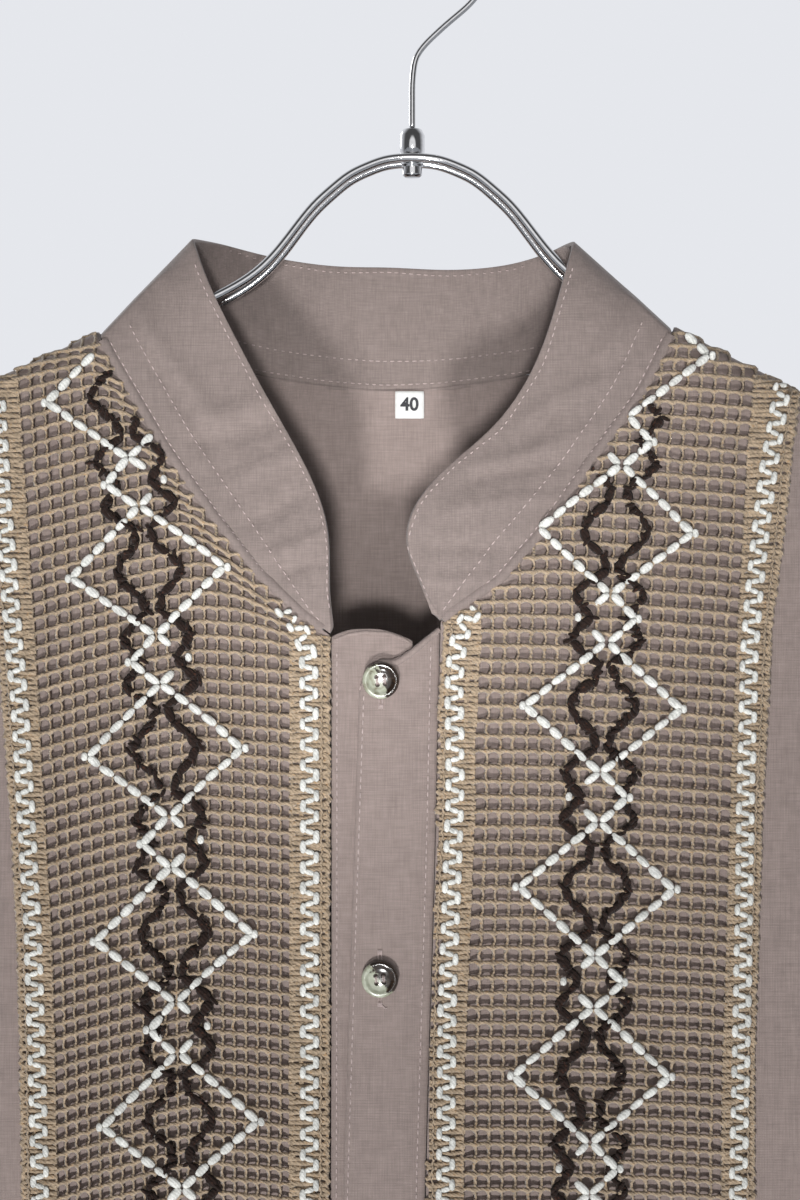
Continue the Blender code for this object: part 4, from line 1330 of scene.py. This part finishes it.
def make_buttons(material, thread, tree):
    """Rimmed, dished resin buttons with four drilled holes and the thread that holds each."""
    buttons, drills, stitches = [], [], []
    hole_profile = [(0, -1.5), (BUTTON_HOLE_RADIUS, -1.5), (BUTTON_HOLE_RADIUS, 4.5), (0, 4.5)]
    for _, x, drop in button_places():
        buttons.append(turned_on_placket("button", BUTTON_PROFILE, 40, x, -drop))
        angles = [BUTTON_TURN + math.pi / 4 + number * math.pi / 2 for number in range(4)]
        holes = [
            (x + BUTTON_HOLE_FROM_MIDDLE * math.cos(angle), -drop + BUTTON_HOLE_FROM_MIDDLE * math.sin(angle))
            for angle in angles
        ]
        drills += [turned_on_placket("drill", hole_profile, 14, *hole) for hole in holes]
        for pair in ((holes[0], holes[3]), (holes[1], holes[2])):
            for aside in (-0.22, 0.22):
                ends = [(hole_x + aside, BUTTON_BACK_Y - 2.0, hole_z) for hole_x, hole_z in pair]
                stitches.append((*ends, (0, -1, 0), 0.42, 0.5))
    piece = joined("buttons", buttons)
    drill = joined("drills", drills)
    cut = piece.modifiers.new("holes", "BOOLEAN")
    cut.object = drill
    cut.operation = "DIFFERENCE"
    apply_modifiers(piece)
    bpy.data.objects.remove(drill)
    finished(piece, material, 40)
    mark_dark_sides(piece)
    show(piece, "button", *[f"button_{number + 1}" for number in range(BUTTONS)])
    show(stitch_piece("button_thread", stitches, tree, 8, 5), "cloth")


def mark_dark_sides(piece):
    """Each button's own "dark side", from -1 to 1 across it, which the resin's brown follows."""
    shares = []
    for vertex in piece.data.vertices:
        x, drop = vertex.co.x / MM, -vertex.co.z / MM
        number, middle_x, middle = min(button_places(), key=lambda place: abs(drop - place[2]))
        turn = DARK_SIDES[number]
        shares.append(((x - middle_x) * math.cos(turn) + (middle - drop) * math.sin(turn)) / BUTTON_RADIUS)
    piece.data.attributes.new("dark_side", "FLOAT", "POINT").data.foreach_set("value", shares)


def finished(piece, material, angle):
    """The material, and smooth shading that is kept sharp at edges past an angle."""
    piece.data.materials.clear()
    piece.data.materials.append(material)
    shape = bmesh.new()
    shape.from_mesh(piece.data)
    for edge in shape.edges:
        edge.smooth = len(edge.link_faces) == 2 and edge.calc_face_angle() < math.radians(angle)
    for face in shape.faces:
        face.smooth = True
    shape.to_mesh(piece.data)
    shape.free()


def buttonhole_stitches(tree):
    """Close cross stitches down both sides of each upright slit, and a bar tack at its ends."""
    stitches = []
    for number, x, drop in button_places():
        for row in range(int(2 * HOLE_HALF / HOLE_STITCH) + 1):
            down = drop - HOLE_HALF + row * HOLE_STITCH
            for side in (-1, 1):
                near, far = x + side * 0.18, x + side * (HOLE_SIDE + 0.1 * uneven(row, number))
                y = surface_y(tree, x + side * 0.6, down)
                if y is not None:
                    stitches.append(((near, y - 0.2, -down), (far, y - 0.05, -down), (0, -1, 0), 0.44, 0.42))
        for end in (-1, 1):
            down = drop + end * (HOLE_HALF if number or end > 0 else FIRST_HOLE_TOP)
            y = surface_y(tree, x, down) - 0.3
            for across in (-0.6, -0.2, 0.2, 0.6):
                low, high = (x + across, y, -down - 0.9), (x + across, y, -down + 0.9)
                stitches.append((high, low, (0, -1, 0), 0.42, 0.45))
    return stitches


def thread_tails(tree):
    """Short loose ends of thread at some bar tacks."""
    lines = []
    for number, x, drop in button_places():
        end = drop + (HOLE_HALF if number % 2 else -FIRST_HOLE_TOP)
        bend = uneven(number, 51)
        line = []
        for step in range(7):
            t = step / 6
            place_x = x + 0.4 + 2.4 * t + 0.5 * math.sin(5 * t + bend)
            place_drop = end + 3.2 * t * (0.4 + bend) + 0.7 * math.sin(4 * t)
            y = surface_y(tree, place_x, place_drop)
            line.append((place_x, y - 0.25, place_drop, 1.0))
        lines.append(line)
    return lines


def make_label(material, ink):
    """The small woven label inside the back neck, with a plain number."""
    make_from_solid("label", "label_tape", "label", material)
    low, high = (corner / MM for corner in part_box("label"))
    words = bpy.data.curves.new("label_number", "FONT")
    words.body = LABEL_NUMBER
    words.size = LABEL_NUMBER_SIZE * MM
    words.extrude = 0.06 * MM
    words.offset = 0.18 * MM
    words.align_x = "CENTER"
    words.align_y = "CENTER"
    shown = linked("label_number", words)
    mesh = bpy.data.meshes.new_from_object(shown.evaluated_get(bpy.context.evaluated_depsgraph_get()))
    bpy.data.objects.remove(shown)
    place = Vector(((low.x + high.x) / 2, low.y - 0.05, (low.z + high.z) / 2)) * MM
    mesh.transform(Matrix.Translation(place) @ Matrix.Rotation(math.pi / 2, 4, "X"))
    mesh.materials.append(ink)
    show(linked("label_number", mesh), "label")


def make_hanger(material):
    """Chrome wire, hook and boss, each finer than its solid and in its place."""
    make_from_solid("hanger_wire", "chrome_wire", "chrome", material, 60)
    make_from_solid("hanger_hook", "chrome_hook", "chrome", material, 60)
    boss = turned_piece("chrome_boss", BOSS_PROFILE, 48, lambda x, y, z: (x, y, z))
    edge = boss.modifiers.new("edge", "BEVEL")
    edge.width = 0.28 * MM
    edge.segments = 3
    edge.limit_method = "ANGLE"
    apply_modifiers(boss)
    finished(boss, material, 35)
    show(boss, "chrome", "hanger_boss")


def make_floor(material):
    reach = (-FLOOR_HALF, FLOOR_HALF)
    floor = new_piece("floor", [(x, y, -FLOOR_DROP) for x in reach for y in reach], [(0, 2, 3, 1)])
    floor.data.materials.append(material)


def place_lamp(name, lamp, place, at):
    """A lamp at a place, turned towards a point."""
    light = linked(name, lamp)
    light.location = Vector(place) * MM
    light.rotation_euler = (Vector(at) - Vector(place)).to_track_quat("-Z", "Y").to_euler()


def place_lights():
    """A soft key from low in front, a spot that fades out round the neck and a lamp behind, in a room."""
    for name, (place, at, size, power) in LAMPS.items():
        lamp = bpy.data.lights.new(name, "AREA")
        lamp.shape = "DISK"
        lamp.size = size * MM
        lamp.energy = power
        place_lamp(name, lamp, place, at)
    place, at, cone, size, power = NECK_SPOT
    spot = bpy.data.lights.new("neck", "SPOT")
    spot.energy = power
    spot.spot_size = math.radians(cone)
    spot.spot_blend = 1.0
    spot.shadow_soft_size = size * MM
    place_lamp("neck", spot, place, at)
    make_room()
    bpy.context.scene.view_settings.view_transform = "Standard"


def make_room():
    """Pale surroundings: bright behind the shirt, dim in front of it but for a window straight ahead."""
    world = bpy.data.worlds.new("pale_room")
    world.use_nodes = True
    tree = world.node_tree
    way = add_node(tree, "ShaderNodeTexCoord").outputs["Generated"]
    towards_back = add_node(tree, "ShaderNodeSeparateXYZ", Vector=way).outputs["Y"]
    share = add_node(tree, "ShaderNodeMapRange", Value=towards_back, From_Min=-1.0).outputs["Result"]
    put(tree, colour_ramp(tree, share, *ROOM), tree.nodes["Background"].inputs["Color"])
    bpy.context.scene.world = world


def place_camera():
    """The photograph's camera, level."""
    lens = bpy.data.cameras.new("camera")
    lens.sensor_fit = "VERTICAL"
    lens.sensor_height = SENSOR_HEIGHT
    lens.lens = CAMERA_LENS
    lens.clip_end = 30
    camera = linked("camera", lens)
    camera.location = Vector(CAMERA_PLACE) * MM
    camera.rotation_euler = (math.pi / 2, 0, 0)
    bpy.context.scene.camera = camera


def make_net(panel, side, tree):
    """The panel's crochet net and its dense borders with their chains."""
    show(yarn_piece(f"net_{side}_rows", net_rows(panel), tree, ROW_RADIUS, 4), "net", f"net_{side}")
    show(yarn_piece(f"net_{side}_bars", net_bars(panel), tree, BAR_RADIUS, 3), "net")
    for place in ("inner", "outer"):
        ribs = border_ribs(panel, place == "inner")
        show(yarn_piece(f"net_{side}_{place}_border", ribs, tree, RIB_RADIUS, 5), "net")
    show(yarn_piece(f"net_{side}_cords", border_cords(panel), tree, CORD_RADIUS, 4), "net")


def make_embroidery(panel, side, white_tree, dark_tree):
    """The panel's two white braids and its white and dark diamonds."""
    braid = [stitch for of_side, path in BRAIDS if of_side == side for stitch in braid_stitches(panel, path)]
    show(stitch_piece(f"braid_{side}", braid, white_tree, 8, 5), "net")
    white, dark = [], []
    for strand in (-1, 1):
        white += strand_stitches(panel, WHITE_CHART, WHITE_COUNTS, strand, WHITE_STITCH)
        lift = DARK_STEP * strand * panel.inner
        dark += strand_stitches(panel, DARK_CHART, DARK_COUNTS, strand, DARK_STITCH, lift)
        dark += loose_stitches(panel, strand)
    show(stitch_piece(f"diamonds_{side}_white", white, white_tree, 8, 6), "net")
    show(stitch_piece(f"diamonds_{side}_dark", dark, dark_tree, 6, 5), "net")


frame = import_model()
place_camera()
place_lights()
make_floor(make_floor_finish())

cloth = make_woven("taupe_weave", TAUPE)
# The collar's cloth: the body's weave with painted shade, a darker copy that offsets the neck spot's light on
# the collar
shaded_collar_cloth = make_woven("collar_weave", COLLAR_SHADED_TAUPE)
thread = make_plain_thread("sewing_thread", THREAD_COLOUR)
thread_tree = stitch_tree(thread)
white_tree = stitch_tree(make_yarn("white_cotton", WHITE, WHITE_FLECK, 0.12))
dark_tree = stitch_tree(make_yarn("dark_wool", DARK, DARK_FLECK, 0.5, 0.08))
tan_tree = yarn_tree(make_yarn("tan_crochet", TAN, TAN_FLECK))

back = make_cloth_piece("back", cloth, back_height, 1)
fronts = {side: make_cloth_piece(f"front_{side}", cloth, front_height, -1) for side in ("left", "right")}
over, under = (make_cloth_piece(f"placket_{side}", cloth, placket_height, -1) for side in ("over", "under"))
collar = make_cloth_piece("collar", shaded_collar_cloth, collar_height, 1, levels=3)
sleeves = [make_cloth_piece(f"sleeve_{side}", cloth, sleeve_height, 1) for side in ("left", "right")]

collar_tree, over_tree, back_tree = (ray_tree(piece) for piece in (collar, over, back))
front_tree = ray_tree(*fronts.values())
for side in fronts:
    panel = Panel(side, level_front_tree(side), collar_tree)
    make_net(panel, side, tan_tree)
    make_embroidery(panel, side, white_tree, dark_tree)

sewing = {
    "collar_sewing": collar_sewing(collar_tree),
    "placket_sewing": placket_sewing(ray_tree(over, under)),
    "hem_sewing": hem_sewing(front_tree, back_tree),
    "cuff_sewing": cuff_sewing(ray_tree(*sleeves)),
    "buttonholes": buttonhole_stitches(over_tree),
}
for name, stitches in sewing.items():
    show(stitch_piece(name, stitches, thread_tree, 5, 4), "cloth")
edge_lines = rolled_edges(over_tree, ray_tree(under))
show(yarn_piece("placket_edges", edge_lines, yarn_tree(cloth), 1.0, 8), "cloth")
neck_lines = neck_seam(collar_tree, front_tree, back_tree)
show(yarn_piece("neck_seam", neck_lines, yarn_tree(shaded_collar_cloth), 0.95, 12), "cloth")
show(yarn_piece("thread_tails", thread_tails(over_tree), yarn_tree(thread), 0.17, 5), "cloth")
make_buttons(make_button_finish(), thread, thread_tree)
make_label(make_label_finish(), make_plain_thread("number_ink", INK))
make_hanger(make_chrome())

sewn_on = {
    f"front_{side}_cloth": [piece for piece in bpy.data.objects if piece.name.startswith(parts)]
    for side in ("left", "right")
    for parts in [(f"net_{side}_", f"braid_{side}", f"diamonds_{side}_")]
}
sewn_on["label_tape"] = [bpy.data.objects["label_number"]]
